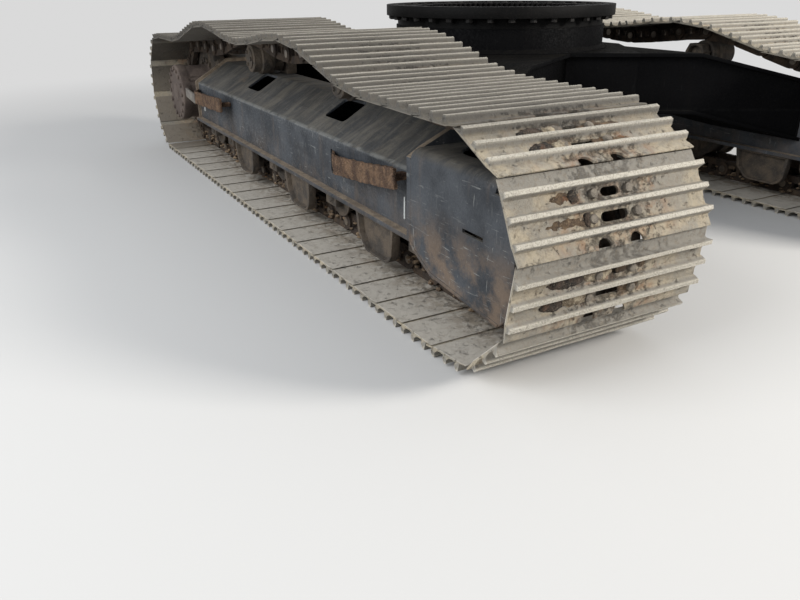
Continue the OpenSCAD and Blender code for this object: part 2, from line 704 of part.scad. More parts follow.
// The inner race, with the teeth that the swing drive's pinion runs round in
race_w = 68;
inner_race_r = race_r - race_w;
ring_tip_r = inner_race_r - 116;
ring_tooth_h = 24;
tooth_share = [0.14, 0.36];
module slew_inner_race() color("#3b3d3e")
    translate([0, 0, tower_z + seat])
    difference() {
        cylinder(r = inner_race_r - race_gap, h = race_z - tower_z - 12);
        translate([0, 0, -1]) linear_extrude(race_z - tower_z + 2)
            polygon([for (i = [0 : ring_teeth - 1], k = [[ring_tip_r + ring_tooth_h, -tooth_share[0]],
                    [ring_tip_r + ring_tooth_h, tooth_share[0]], [ring_tip_r, tooth_share[1]],
                    [ring_tip_r, 1 - tooth_share[1]]])
                let (a = (i + k[1]) * 360 / ring_teeth) [k[0] * cos(a), k[0] * sin(a)]]);
    }

module slew_outer_race() color("#2f3133")
    translate([0, 0, race_z - race_h])
    difference() {
        cylinder(r = race_r, h = race_h);
        translate([0, 0, -1]) cylinder(r = inner_race_r, h = race_h + 2);
        for (i = [0 : race_bolts - 1])
            rotate([0, 0, i * 360 / race_bolts]) translate([race_bolt_r, 0, -1])
            cylinder(r = race_hole_r, h = race_h + 2);
    }

// The swivel hangs in the deck by its flange, and its stem turns in its bore
swivel_z = deck_z + 50;
swivel_hole_r = 150;
swivel_r = 120;
swivel_foot = 60;
swivel_flange = [40, 20];
spigot_r = 60;
spigot_h = 220;
spigot_play = 10;
// Rows: radius and height of the stem's head and of its neck
stem_rows = [[95, 110], [60, 40]];
module swivel_barrel() color("#4a4d50")
    difference() {
        union() {
            translate([0, 0, beam_z + swivel_foot])
                cylinder(r = swivel_r, h = swivel_z - beam_z - swivel_foot);
            translate([0, 0, deck_z + seat])
                cylinder(r = swivel_hole_r + swivel_flange[0], h = swivel_flange[1]);
        }
        translate([0, 0, swivel_z - spigot_h]) cylinder(r = spigot_r, h = spigot_h + 1);
    }
module swivel_stem() color("#6a6d70") {
    translate([0, 0, swivel_z - spigot_h + spigot_play])
        cylinder(r = spigot_r - race_gap, h = spigot_h);
    translate([0, 0, swivel_z + race_gap]) cylinder(r = stem_rows[0][0], h = stem_rows[0][1]);
    translate([0, 0, swivel_z + race_gap + stem_rows[0][1] - 1])
        cylinder(r = stem_rows[1][0], h = stem_rows[1][1]);
}

carbody_centre();
bottom_cover();
tower();
slew_inner_race();
slew_outer_race();
swivel_barrel();
swivel_stem();
leg();  // leg_front_left
mirror([0, 1, 0]) leg();  // leg_front_right
mirror([1, 0, 0]) leg();  // leg_rear_left
mirror([1, 0, 0]) mirror([0, 1, 0]) leg();  // leg_rear_right
at_side(1) track_frame();  // track_frame_left
at_side(-1) track_frame();  // track_frame_right
at_side(1) idler_guard();  // idler_guard_left
at_side(-1) idler_guard();  // idler_guard_right
at_side(1) idler();  // idler_left
at_side(-1) idler();  // idler_right
at_side(1) idler_yoke();  // idler_yoke_left
at_side(-1) idler_yoke();  // idler_yoke_right
at_side(1) sprocket();  // sprocket_left
at_side(-1) sprocket();  // sprocket_right
at_side(1) final_drive();  // final_drive_left
at_side(-1) final_drive();  // final_drive_right
at_side(1) travel_motor();  // travel_motor_left
at_side(-1) travel_motor();  // travel_motor_right
at_side(1) motor_guard();  // motor_guard_left
at_side(-1) motor_guard();  // motor_guard_right
at_side(1) carrier_roller(carrier_rear_x);  // carrier_roller_rear_left
at_side(-1) carrier_roller(carrier_rear_x);  // carrier_roller_rear_right
at_side(1) carrier_roller(carrier_front_x);  // carrier_roller_front_left
at_side(-1) carrier_roller(carrier_front_x);  // carrier_roller_front_right
at_side(1) track_rollers();  // track_rollers_left
at_side(-1) track_rollers();  // track_rollers_right
at_side(1) chain_guards();  // chain_guards_left
at_side(-1) chain_guards();  // chain_guards_right
at_side(1) steps();  // steps_left
at_side(-1) steps();  // steps_right
at_side(1) track_shoes();  // track_shoes_left
at_side(-1) track_shoes();  // track_shoes_right
at_side(1) track_chain();  // track_chain_left
at_side(-1) track_chain();  // track_chain_right
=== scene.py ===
"""Undercarriage of a crawler excavator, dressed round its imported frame.

Lengths are in metres. +X points to the idlers, +Y to the left track and +Z up.
"""

import json
import logging
import math
import random
from collections.abc import Callable, Sequence
from dataclasses import dataclass
from enum import Enum

import bpy
from mathutils import Matrix, Vector, noise

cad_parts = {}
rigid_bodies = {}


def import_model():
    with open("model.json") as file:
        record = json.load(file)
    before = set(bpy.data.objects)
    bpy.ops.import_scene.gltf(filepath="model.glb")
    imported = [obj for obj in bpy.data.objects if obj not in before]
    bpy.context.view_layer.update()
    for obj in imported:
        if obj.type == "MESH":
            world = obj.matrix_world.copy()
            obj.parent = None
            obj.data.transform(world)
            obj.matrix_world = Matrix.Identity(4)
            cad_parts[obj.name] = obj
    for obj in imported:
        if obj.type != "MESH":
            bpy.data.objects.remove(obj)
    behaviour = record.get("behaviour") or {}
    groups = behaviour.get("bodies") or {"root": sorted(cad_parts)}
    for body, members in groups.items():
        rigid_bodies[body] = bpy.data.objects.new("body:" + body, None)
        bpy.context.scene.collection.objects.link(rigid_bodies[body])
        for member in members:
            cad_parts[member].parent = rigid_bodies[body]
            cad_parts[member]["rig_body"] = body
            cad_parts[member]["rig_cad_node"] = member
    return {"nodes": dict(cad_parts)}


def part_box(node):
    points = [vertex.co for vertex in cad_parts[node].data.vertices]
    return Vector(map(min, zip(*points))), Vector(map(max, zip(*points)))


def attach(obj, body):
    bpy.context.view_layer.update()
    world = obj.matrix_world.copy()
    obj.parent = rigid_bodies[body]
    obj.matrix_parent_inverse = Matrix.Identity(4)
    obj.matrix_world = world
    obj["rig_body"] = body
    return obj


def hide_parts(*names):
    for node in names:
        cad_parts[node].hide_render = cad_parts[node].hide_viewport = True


log = logging.getLogger("undercarriage")

Piece = bpy.types.Object
Finish = bpy.types.Material
Socket = bpy.types.NodeSocket
Point = Sequence[float]
Span = tuple[float, float]
Colour = tuple[int, int, int]

CARBODY = "undercarriage"
RING = "slew_ring"
UP = (0, 0, 1)
DOWN = (0, 0, -1)


class Side(Enum):
    """The two tracks, by the sign of their Y."""

    LEFT = 1
    RIGHT = -1

    @property
    def word(self) -> str:
        """The ending that this side's nodes have."""
        return self.name.lower()


class Part(Enum):
    """What is selected of a mesh, with Blender's name for its list."""

    FACE = "polygons"
    VERT = "vertices"


# Modelling by operators


def deselect() -> None:
    """Leave edit mode and select nothing."""
    if bpy.context.object and bpy.context.object.mode != "OBJECT":
        bpy.ops.object.mode_set(mode="OBJECT")
    bpy.ops.object.select_all(action="DESELECT")


def pick(piece: Piece) -> None:
    """Make a piece the one selected and active object.

    Args:
        piece: The piece.
    """
    deselect()
    piece.select_set(True)
    bpy.context.view_layer.objects.active = piece


def edit(piece: Piece, action: str = "SELECT") -> None:
    """Open a piece in edit mode.

    Args:
        piece: The piece.
        action: "SELECT" or "DESELECT" the whole of it.
    """
    pick(piece)
    bpy.ops.object.mode_set(mode="EDIT")
    bpy.ops.mesh.select_all(action=action)


def settled() -> Piece:
    """Put the new object's place, turn and scale into its mesh."""
    bpy.ops.object.transform_apply(location=True, rotation=True, scale=True)
    return bpy.context.object


def block(low: Point, high: Point) -> Piece:
    """Add a box between two corners.

    Args:
        low: Lowest corner.
        high: Highest corner.

    Returns:
        The box.
    """
    deselect()
    low, high = Vector(low), Vector(high)
    bpy.ops.mesh.primitive_cube_add(size=1, location=(low + high) / 2, scale=high - low)
    return settled()


def rod(radius: float, start: Point, end: Point, sides: int) -> Piece:
    """Add a cylinder between two points.

    Args:
        radius: Its radius.
        start: Middle of one end.
        end: Middle of the other end.
        sides: Number of its side faces.

    Returns:
        The cylinder.
    """
    deselect()
    span = Vector(end) - Vector(start)
    bpy.ops.mesh.primitive_cylinder_add(
        radius=radius, depth=span.length, vertices=sides,
        location=(Vector(start) + Vector(end)) / 2,
        rotation=span.to_track_quat("Z", "Y").to_euler(),
    )
    return settled()


def ball(detail: int) -> Piece:
    """Add a ball 1 wide.

    Args:
        detail: How often its first faces are divided.

    Returns:
        The ball.
    """
    deselect()
    bpy.ops.mesh.primitive_ico_sphere_add(subdivisions=detail, radius=0.5)
    return bpy.context.object


def extruded(outline: Sequence[Span], plane: str, low: float, high: float) -> Piece:
    """Fill a closed outline and extrude it square to its plane.

    Args:
        outline: Its points, in the plane's two axes.
        plane: "XZ" or "XY".
        low: Where the solid starts along the third axis.
        high: Where it ends.

    Returns:
        The solid.
    """
    deselect()
    bpy.ops.mesh.primitive_circle_add(vertices=len(outline), fill_type="NGON")
    piece = bpy.context.object
    for point, place in zip(piece.data.vertices, outline):
        point.co = Vector((*place, 0))
    edit(piece)
    bpy.ops.mesh.extrude_region_move(TRANSFORM_OT_translate={"value": (0, 0, high - low)})
    deselect()
    rows = ["XYZ".index(axis) for axis in plane]
    rows.append(3 - sum(rows))
    turn = Matrix.Diagonal((0, 0, 0, 1))
    for column, row in enumerate(rows):
        turn[row][column] = 1
    turn[rows[2]][3] = low
    piece.data.transform(turn)
    edit(piece)
    bpy.ops.mesh.normals_make_consistent(inside=False)
    deselect()
    return piece


def oblong(length: float, width: float, steps: int = 5) -> list[Span]:
    """Give the outline of a slot with round ends, its length along the second axis.

    Args:
        length: Its length over the ends.
        width: Its width.
        steps: Points of each round end, less one.

    Returns:
        The outline's points about its middle.
    """
    radius = width / 2
    turns = [(end, math.pi * i / steps) for end in (1, -1) for i in range(steps + 1)]
    return [
        (end * radius * math.cos(a), end * ((length / 2 - radius) + radius * math.sin(a)))
        for end, a in turns
    ]


def paint(piece: Piece, finish: Finish) -> Piece:
    """Give a whole piece one material.

    Args:
        piece: The piece.
        finish: The material.

    Returns:
        The same piece.
    """
    piece.data.materials.clear()
    piece.data.materials.append(finish)
    return piece


def select(piece: Piece, part: Part, test: Callable[..., bool]) -> None:
    """Select a piece's faces or points, and stay in edit mode.

    Args:
        piece: The piece.
        part: What is selected.
        test: Says of a face or a point whether it is wanted.
    """
    edit(piece, "DESELECT")
    bpy.ops.mesh.select_mode(type=part.name)
    bpy.ops.object.mode_set(mode="OBJECT")
    for item in getattr(piece.data, part.value):
        item.select = test(item)
    bpy.ops.object.mode_set(mode="EDIT")


def cut_across(piece: Piece, point: Point, normal: Point) -> None:
    """Cut new edges round a whole piece where a plane meets it.

    Args:
        piece: The piece.
        point: A point of the plane.
        normal: The plane's normal.
    """
    edit(piece)
    bpy.ops.mesh.bisect(plane_co=point, plane_no=normal)
    deselect()


def modify(piece: Piece, kind: str, **values: object) -> None:
    """Add a modifier and apply it.

    Args:
        piece: The piece to change.
        kind: The modifier's type.
        values: The modifier's settings.
    """
    pick(piece)
    tool = piece.modifiers.new(kind.title(), kind)
    for name, value in values.items():
        setattr(tool, name, value)
    bpy.ops.object.modifier_apply(modifier=tool.name)


def carve(piece: Piece, cutter: Piece) -> None:
    """Take one solid out of another and remove the cutter."""
    modify(piece, "BOOLEAN", operation="DIFFERENCE", object=cutter, solver="EXACT")
    bpy.data.objects.remove(cutter)


def joined(pieces: Sequence[Piece], name: str) -> Piece:
    """Join pieces into one.

    Args:
        pieces: The pieces, two or more, the first of which stays.
        name: The name of the whole.

    Returns:
        The whole.
    """
    pick(pieces[0])
    for piece in pieces:
        piece.select_set(True)
    bpy.ops.object.join()
    whole = bpy.context.object
    whole.name = name
    whole.data.name = name
    return whole


def placed_copy(piece: Piece, place: Matrix) -> Piece:
    """Copy a piece, with its own mesh, to another place.

    Args:
        piece: The piece to copy.
        place: The matrix from the piece's mesh to its new place.

    Returns:
        The copy, with its place in its mesh.
    """
    copy = piece.copy()
    copy.data = piece.data.copy()
    copy.data.transform(place)
    if place.determinant() < 0:
        copy.data.flip_normals()
    bpy.context.scene.collection.objects.link(copy)
    return copy


def copies(piece: Piece, places: Sequence[Matrix], name: str) -> Piece:
    """Repeat a piece at many places as one mesh."""
    return joined([placed_copy(piece, place) for place in places], name)


def smooth(piece: Piece, degrees: float = 35) -> None:
    """Shade a piece smooth but for the edges sharper than an angle."""
    pick(piece)
    bpy.ops.object.shade_smooth_by_angle(angle=math.radians(degrees))


def mark(piece: Piece, name: str, value: Callable[[Vector], float]) -> None:
    """Store a number on each vertex for a material to read.

    Args:
        piece: The piece.
        name: The attribute's name.
        value: The number, from the vertex's place.
    """
    layer = piece.data.attributes.new(name, "FLOAT", "POINT")
    for point, item in zip(piece.data.vertices, layer.data):
        item.value = value(point.co)


def node_copy(node: str, bevel: float = 0.0) -> Piece:
    """Copy a CAD node's solid, merged and with its edges rounded off.

    Args:
        node: The node's name.
        bevel: Width of the rounding, or 0 for none.

    Returns:
        The copy, without a material.
    """
    source = FRAME["nodes"][node]
    piece = source.copy()
    piece.data = source.data.copy()
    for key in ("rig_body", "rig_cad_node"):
        if key in piece:
            del piece[key]
    piece.parent = None
    bpy.context.scene.collection.objects.link(piece)
    piece.data.materials.clear()
    edit(piece)
    bpy.ops.mesh.remove_doubles(threshold=1e-5)
    bpy.ops.mesh.dissolve_limited(angle_limit=math.radians(1))
    deselect()
    if bevel:
        modify(
            piece, "BEVEL", width=bevel, segments=2, limit_method="ANGLE",
            angle_limit=math.radians(28), use_clamp_overlap=True,
        )
    return piece


def hand_in(
    piece: Piece, name: str, body: str = CARBODY, nodes: Sequence[str] = ()
) -> None:
    """Name a finished piece and let it ride on its body.

    Args:
        piece: The piece.
        name: Its name.
        body: The CAD body that carries it.
        nodes: The CAD nodes that it stands for.
    """
    deselect()
    piece.name = name
    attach(piece, body)
    if nodes:
        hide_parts(*nodes)
    log.info("%s: %d faces", name, len(piece.data.polygons))


# Finishes


def linear(colour: object) -> object:
    """Turn a colour into Blender's linear values.

    Args:
        colour: Its channels from 0 to 255, or a node's output, which stays as it is.

    Returns:
        The colour with an alpha of 1, or the output.
    """
    if isinstance(colour, Socket):
        return colour
    parts = [channel / 255 for channel in colour]
    return (*(v / 12.92 if v <= 0.04045 else ((v + 0.055) / 1.055) ** 2.4 for v in parts), 1.0)


class Tree:
    """A node tree, built from its last node backwards."""

    def __init__(self, tree: bpy.types.NodeTree) -> None:
        """Take the tree."""
        self.tree = tree

    def feed(self, target: Socket, value: object) -> None:
        """Give an input a number, a colour or another node's output.

        Args:
            target: The input.
            value: What it gets.
        """
        if isinstance(value, Socket):
            self.tree.links.new(value, target)
        else:
            target.default_value = value

    def node(self, kind: str, fed: dict[object, object], **values: object) -> bpy.types.Node:
        """Add a node, set its own values and feed its inputs.

        Args:
            kind: The node's type.
            fed: What each input gets.
            values: Settings of the node itself.

        Returns:
            The node.
        """
        made = self.tree.nodes.new(f"ShaderNode{kind}")
        for name, value in values.items():
            setattr(made, name, value)
        for key, value in fed.items():
            self.feed(made.inputs[key], value)
        return made

    def seen(self) -> Socket:
        """Tell the rays that see the background from those that light the machine.

        Returns:
            1 for a camera, glossy or transmission ray, and 0 for another.
        """
        rays = self.node("LightPath", {}).outputs
        found = rays["Is Camera Ray"]
        for name in ("Is Glossy Ray", "Is Transmission Ray"):
            found = self.node("Math", {0: found, 1: rays[name]}, operation="MAXIMUM").outputs[0]
        return found

    def shine(self, share: Socket, first: Socket, second: Socket, end: str) -> None:
        """Mix two shaders and end the tree with them.

        Args:
            share: How much of the second.
            first: A shader's output.
            second: Another's.
            end: The name of the tree's last node.
        """
        mixed = self.node("MixShader", {0: share, 1: first, 2: second})
        self.feed(self.tree.nodes[end].inputs["Surface"], mixed.outputs[0])


class Graph(Tree):
    """A material's node tree with one Principled shader, on Object coordinates."""

    def __init__(self, name: str) -> None:
        """Start a material.

        Args:
            name: The material's name.
        """
        self.material = bpy.data.materials.new(name)
        self.material.use_nodes = True
        super().__init__(self.material.node_tree)
        self.shader = self.tree.nodes["Principled BSDF"]
        self.place = self.node("TexCoord", {}).outputs["Object"]

    def noise(
        self, scale: float, detail: float, rough: float, stretch: Point = (), warp: float = 0.0
    ) -> Socket:
        """Add a noise.

        Args:
            scale: Waves in a metre.
            detail: Octaves.
            rough: How much the finer octaves count.
            stretch: Scale along each axis, for streaks.
            warp: Distortion.

        Returns:
            The noise's value.
        """
        place = self.place
        if stretch:
            place = self.node("Mapping", {"Vector": place, "Scale": stretch}).outputs[0]
        fed = {"Vector": place, "Scale": scale, "Detail": detail, "Roughness": rough}
        return self.node("TexNoise", {**fed, "Distortion": warp}).outputs["Fac"]

    def cells(self, scale: float) -> Socket:
        """Add a pattern of cells, so many in a metre."""
        return self.node("TexVoronoi", {"Scale": scale, "Vector": self.place}).outputs["Distance"]

    def ramp(self, value: Socket, low: float, high: float) -> Socket:
        """Spread the values between two marks over 0 to 1, smoothly."""
        fed = {"Value": value, "From Min": low, "From Max": high}
        return self.node("MapRange", fed, interpolation_type="SMOOTHSTEP").outputs["Result"]

    def patches(self, low: float, high: float, *grain: object) -> Socket:
        """Spread a noise's values between two marks over 0 to 1."""
        return self.ramp(self.noise(*grain), low, high)

    def maths(self, operation: str, first: object, second: object = 0.0) -> Socket:
        """Work on two values and keep the result between 0 and 1."""
        fed = {0: first, 1: second}
        return self.node("Math", fed, operation=operation, use_clamp=True).outputs[0]

    def times(self, first: object, *others: object) -> object:
        """Multiply values.

        Args:
            first: A number or an output.
            others: Numbers or outputs.

        Returns:
            Their product.
        """
        for other in others:
            first = self.maths("MULTIPLY", first, other)
        return first

    def less(self, value: object) -> Socket:
        """Take a value from 1."""
        return self.maths("SUBTRACT", 1.0, value)

    def fall(self, value: Socket, low: float, high: float) -> Socket:
        """Give 1 up to the low mark and 0 from the high mark on."""
        return self.less(self.ramp(value, low, high))

    def mix(self, share: object, first: object, second: object) -> Socket:
        """Mix two colours by the share of the second."""
        fed = {"Factor": share, 6: linear(first), 7: linear(second)}
        return self.node("Mix", fed, data_type="RGBA").outputs[2]

    def over(self, base: Socket, colour: object, *shares: object) -> Socket:
        """Lay a colour over another, as strongly as the product of its shares."""
        return self.mix(self.times(*shares), base, colour)

    def blend(self, share: object, first: float, second: float) -> Socket:
        """Mix two numbers by the share of the second."""
        fed = {"Value": share, "To Min": first, "To Max": second}
        return self.node("MapRange", fed).outputs["Result"]

    def stored(self, name: str) -> Socket:
        """Read a number that the mesh holds on its vertices."""
        return self.node("Attribute", {}, attribute_name=name).outputs["Fac"]

    def part(self, source: Socket, axis: str) -> Socket:
        """Give a place's or a direction's part along one axis."""
        return self.node("SeparateXYZ", {0: source}).outputs[axis]

    def bump(self, height: Socket, depth: float, strength: float = 1.0) -> None:
        """Give the shader one more bump.

        Args:
            height: The height, from 0 to 1.
            depth: What 1 is, in metres.
            strength: How strongly it shows.
        """
        normal = self.shader.inputs["Normal"]
        fed = {"Distance": depth, "Strength": strength, "Height": height}
        if normal.is_linked:
            fed["Normal"] = normal.links[0].from_socket
        self.feed(normal, self.node("Bump", fed).outputs["Normal"])

    def finish(
        self, colour: object, rough: object, metal: float = 0.0, gloss: float = 0.5
    ) -> Finish:
        """Give the shader its values.

        Args:
            colour: A colour or an output.
            rough: A number or an output.
            metal: The metallic share, the same all over.
            gloss: The specular level, the same all over.

        Returns:
            The finished material.
        """
        fed = {
            "Base Color": linear(colour), "Roughness": rough, "Metallic": metal,
            "Specular IOR Level": gloss,
        }
        for name, value in fed.items():
            self.feed(self.shader.inputs[name], value)
        return self.material


@dataclass(frozen=True)
class ShoeSteel:
    """Worn shoe plates: pale rough crests, grey flanks, valleys of tan dust and dark mud, with
    painted shade on the top run and inside the upper shoes.
    """

    name: str = "shoe_steel"
    crest: Colour = (170, 164, 151)
    flank: Colour = (122, 118, 110)
    tan: Colour = (151, 141, 122)
    dust: Colour = (128, 123, 113)
    mud: Colour = (50, 41, 34)
    rust: Colour = (128, 92, 62)
    inner: Colour = (174, 168, 158)
    speck: Colour = (204, 197, 182)
    shaded: Colour = (60, 57, 53)
    brown: Colour = (104, 91, 73)
    oily: Colour = (84, 74, 62)
    oily_x: Span = (-2.02, -1.60)
    # Painted shadow for the inside faces of the upper shoes, and the heights over which it comes in.
    deep: Colour = (44, 39, 34)
    deep_z: Span = (0.40, 0.66)
    upper_z: Span = (0.76, 0.84)
    far_x: Span = (-1.4, 0.2)
    clean_y: Span = (-2.0, 2.0)

    def make(self) -> Finish:
        """Build the material from the heights and breadths that the shoes' meshes hold.

        Returns:
            The material.
        """
        graph = Graph(self.name)
        x, y, z = (graph.part(graph.place, axis) for axis in "XYZ")
        height = graph.stored("height")
        across = graph.maths("ABSOLUTE", graph.stored("across"))
        grain = graph.noise(170, 5, 0.7)
        blotch = graph.noise(24, 6, 0.72)
        low = graph.fall(height, 0.10, 0.46)
        floor = graph.mix(graph.patches(0.42, 0.60, 6.5, 6, 0.65), self.tan, self.dust)
        base = graph.mix(low, self.flank, floor)
        base = graph.over(base, self.dust, graph.ramp(blotch, 0.48, 0.66), 0.55)
        stain = graph.patches(0.55, 0.76, 12, 8, 0.8)
        base = graph.over(base, self.rust, stain, low, 0.55)
        seep = graph.patches(0.44, 0.64, 15, 8, 0.78)
        base = graph.over(base, self.rust, graph.fall(across, 0.15, 0.31), low, seep, 0.62)
        base = graph.over(base, self.brown, graph.patches(0.46, 0.68, 62, 6, 0.75), 0.55)
        middle = graph.times(graph.fall(across, 0.06, 0.26), 0.10)
        caked = graph.ramp(graph.maths("ADD", graph.noise(34, 8, 0.8), middle), 0.56, 0.72)
        mud = graph.times(caked, graph.fall(height, 0.35, 0.75))
        base = graph.over(base, self.mud, mud, 0.75)
        worn = graph.times(graph.ramp(height, 0.60, 0.96), graph.ramp(grain, 0.28, 0.60))
        base = graph.mix(worn, base, self.crest)
        under = graph.fall(height, -0.34, -0.24)
        base = graph.over(base, self.inside(graph, across, x, z), under, 0.88)
        base = graph.over(base, self.speck, graph.patches(0.62, 0.72, 330, 3, 0.6), 0.22)
        base = graph.over(base, self.mud, graph.patches(0.62, 0.72, 210, 4, 0.65), 0.36)
        # Painted shade: the top run's shoes are darkened towards the shaded colour, most at the rear
        # and far more on the right track than on the left.
        upper = graph.times(graph.ramp(z, *self.upper_z), graph.less(under))
        edge = graph.ramp(height, 0.90, 1.0)
        far = graph.ramp(x, *self.far_x)
        shade = graph.maths(
            "ADD", graph.times(edge, graph.blend(far, 0.84, 0.38)),
            graph.times(graph.less(edge), graph.blend(far, 0.93, 0.84)),
        )
        base = graph.over(base, self.shaded, upper, shade, graph.fall(y, *self.clean_y))
        for source, depth in ((grain, 0.0022), (blotch, 0.0045), (mud, 0.0050)):
            graph.bump(source, depth)
        return graph.finish(base, graph.blend(worn, 0.92, 0.68))

    def inside(self, graph: Graph, across: Socket, x: Socket, z: Socket) -> Socket:
        """Colour the faces that lie on the chain, with painted shade inside the upper shoes.

        Args:
            graph: The material's graph.
            across: How far a point is from the shoe's middle.
            x: The point's X.
            z: The point's Z.

        Returns:
            The colour.
        """
        base = graph.mix(graph.times(graph.fall(x, *self.oily_x), 0.8), self.inner, self.oily)
        base = graph.over(base, self.brown, graph.patches(0.48, 0.66, 26, 8, 0.8), 0.34)
        dirt = graph.patches(0.36, 0.60, 19, 6, 0.7)
        base = graph.over(base, self.brown, graph.fall(across, 0.14, 0.32), dirt, 0.7)
        # Painted shadow: the inside faces darken to a near black brown as they rise towards the top
        # run, for the shade inside the upper shoes.
        return graph.over(base, self.deep, graph.ramp(z, *self.deep_z), 0.8)


@dataclass(frozen=True)
class DriedMud:
    """Dry earth and stones on links and in the valleys."""

    name: str
    earth: Colour
    pale: Colour
    dark: Colour
    rust: Colour

    def make(self) -> Finish:
        """Build the material.

        Returns:
            The material.
        """
        graph = Graph(self.name)
        grain = graph.noise(190, 6, 0.75)
        base = graph.mix(graph.patches(0.38, 0.62, 30, 7, 0.7), self.dark, self.earth)
        base = graph.mix(graph.ramp(grain, 0.55, 0.72), base, self.pale)
        base = graph.mix(graph.patches(0.58, 0.7, 14, 4, 0.6), base, self.rust)
        graph.bump(grain, 0.006)
        graph.bump(graph.cells(60), 0.006, 0.7)
        return graph.finish(base, 0.95)


@dataclass(frozen=True)
class FramePaint:
    """Blue black paint, scratched, dusted on top, stained low down and worn at its bend."""

    name: str = "frame_paint"
    paint: Colour = (36, 39, 43)
    faded: Colour = (61, 64, 68)
    dust: Colour = (92, 87, 78)
    soot: Colour = (50, 49, 47)
    rust: Colour = (104, 88, 73)
    worn: Colour = (124, 125, 122)
    spill: Colour = (112, 98, 78)
    top_dust: float = 0.85
    scratches: float = 0.55
    stain: float = 0.74
    stain_z: Span = (0.26, 0.50)
    bend_z: float = 0.545
    guard_x: Span = (1.565, 1.585)
    gloss: float = 0.3

    def make(self) -> Finish:
        """Build the material.

        Returns:
            The material.
        """
        graph = Graph(self.name)
        x, z = (graph.part(graph.place, axis) for axis in "XZ")
        base = graph.mix(graph.patches(0.36, 0.66, 3.2, 6, 0.62), self.paint, self.faded)
        streak = graph.patches(0.54, 0.72, 13, 5, 0.62, (1.0, 1.0, 0.14))
        base = graph.over(base, self.rust, streak, 0.20)
        guard = graph.ramp(x, *self.guard_x)
        stained = graph.blend(guard, self.stain * 0.35, self.stain)
        blotch = graph.patches(0.38, 0.62, 7, 6, 0.7)
        base = graph.over(base, self.rust, graph.fall(z, *self.stain_z), blotch, stained)
        lines = graph.maths(
            "MAXIMUM", graph.patches(0.66, 0.71, 85, 2, 0.5, (0.10, 1.0, 1.2), 1.6),
            graph.patches(0.68, 0.73, 70, 2, 0.5, (1.0, 1.0, 0.12), 1.6),
        )
        breadth = graph.patches(0.36, 0.56, 3.4, 3, 0.6)
        base = graph.over(base, self.worn, lines, breadth, self.scratches)
        wash = graph.patches(0.38, 0.64, 15, 7, 0.74, (1.0, 0.26, 0.26), 0.6)
        film = graph.mix(wash, self.soot, self.dust)
        film = graph.over(film, self.spill, graph.patches(0.56, 0.70, 4.5, 6, 0.7), 0.5)
        fleck = graph.patches(0.3, 0.7, 90, 5, 0.7)
        normal = graph.node("NewGeometry", {}).outputs["Normal"]
        cover = graph.times(
            graph.ramp(graph.part(normal, "Z"), 0.25, 0.95),
            graph.blend(fleck, self.top_dust * 0.7, self.top_dust),
        )
        base = graph.mix(cover, base, film)
        off = graph.maths(
            "MAXIMUM", graph.maths("SUBTRACT", z, self.bend_z),
            graph.maths("SUBTRACT", self.bend_z, z),
        )
        bend = graph.fall(off, 0.003, 0.011)
        rubbed = graph.times(bend, graph.patches(0.34, 0.6, 15, 4, 0.6), graph.less(guard))
        base = graph.over(base, self.worn, rubbed, self.scratches * 0.8)
        graph.bump(graph.noise(60, 5, 0.6), 0.0015)
        graph.bump(graph.noise(4, 2, 0.5), 0.01, 0.4)
        rough = graph.blend(graph.maths("ADD", cover, fleck), 0.46, 0.85)
        return graph.finish(base, rough, gloss=self.gloss)


@dataclass(frozen=True)
class BareSteel:
    """Steel with a plain coat of dust, wear or rust."""

    name: str
    base: Colour
    patch: Colour
    fleck: Colour
    rough: float
    depth: float
    coarse: float
    metal: float = 0.0
    gloss: float = 0.4

    def make(self) -> Finish:
        """Build the material.

        Returns:
            The material.
        """
        graph = Graph(self.name)
        cloud = graph.noise(self.coarse, 5, 0.6)
        grain = graph.noise(self.coarse * 14, 5, 0.7)
        base = graph.mix(graph.ramp(cloud, 0.38, 0.64), self.base, self.patch)
        base = graph.over(base, self.fleck, graph.ramp(grain, 0.55, 0.72), 0.7)
        graph.bump(grain, self.depth)
        graph.bump(graph.noise(self.coarse * 3, 4, 0.6), self.depth * 2)
        rough = graph.blend(cloud, self.rough - 0.1, self.rough + 0.08)
        return graph.finish(base, rough, self.metal, self.gloss)


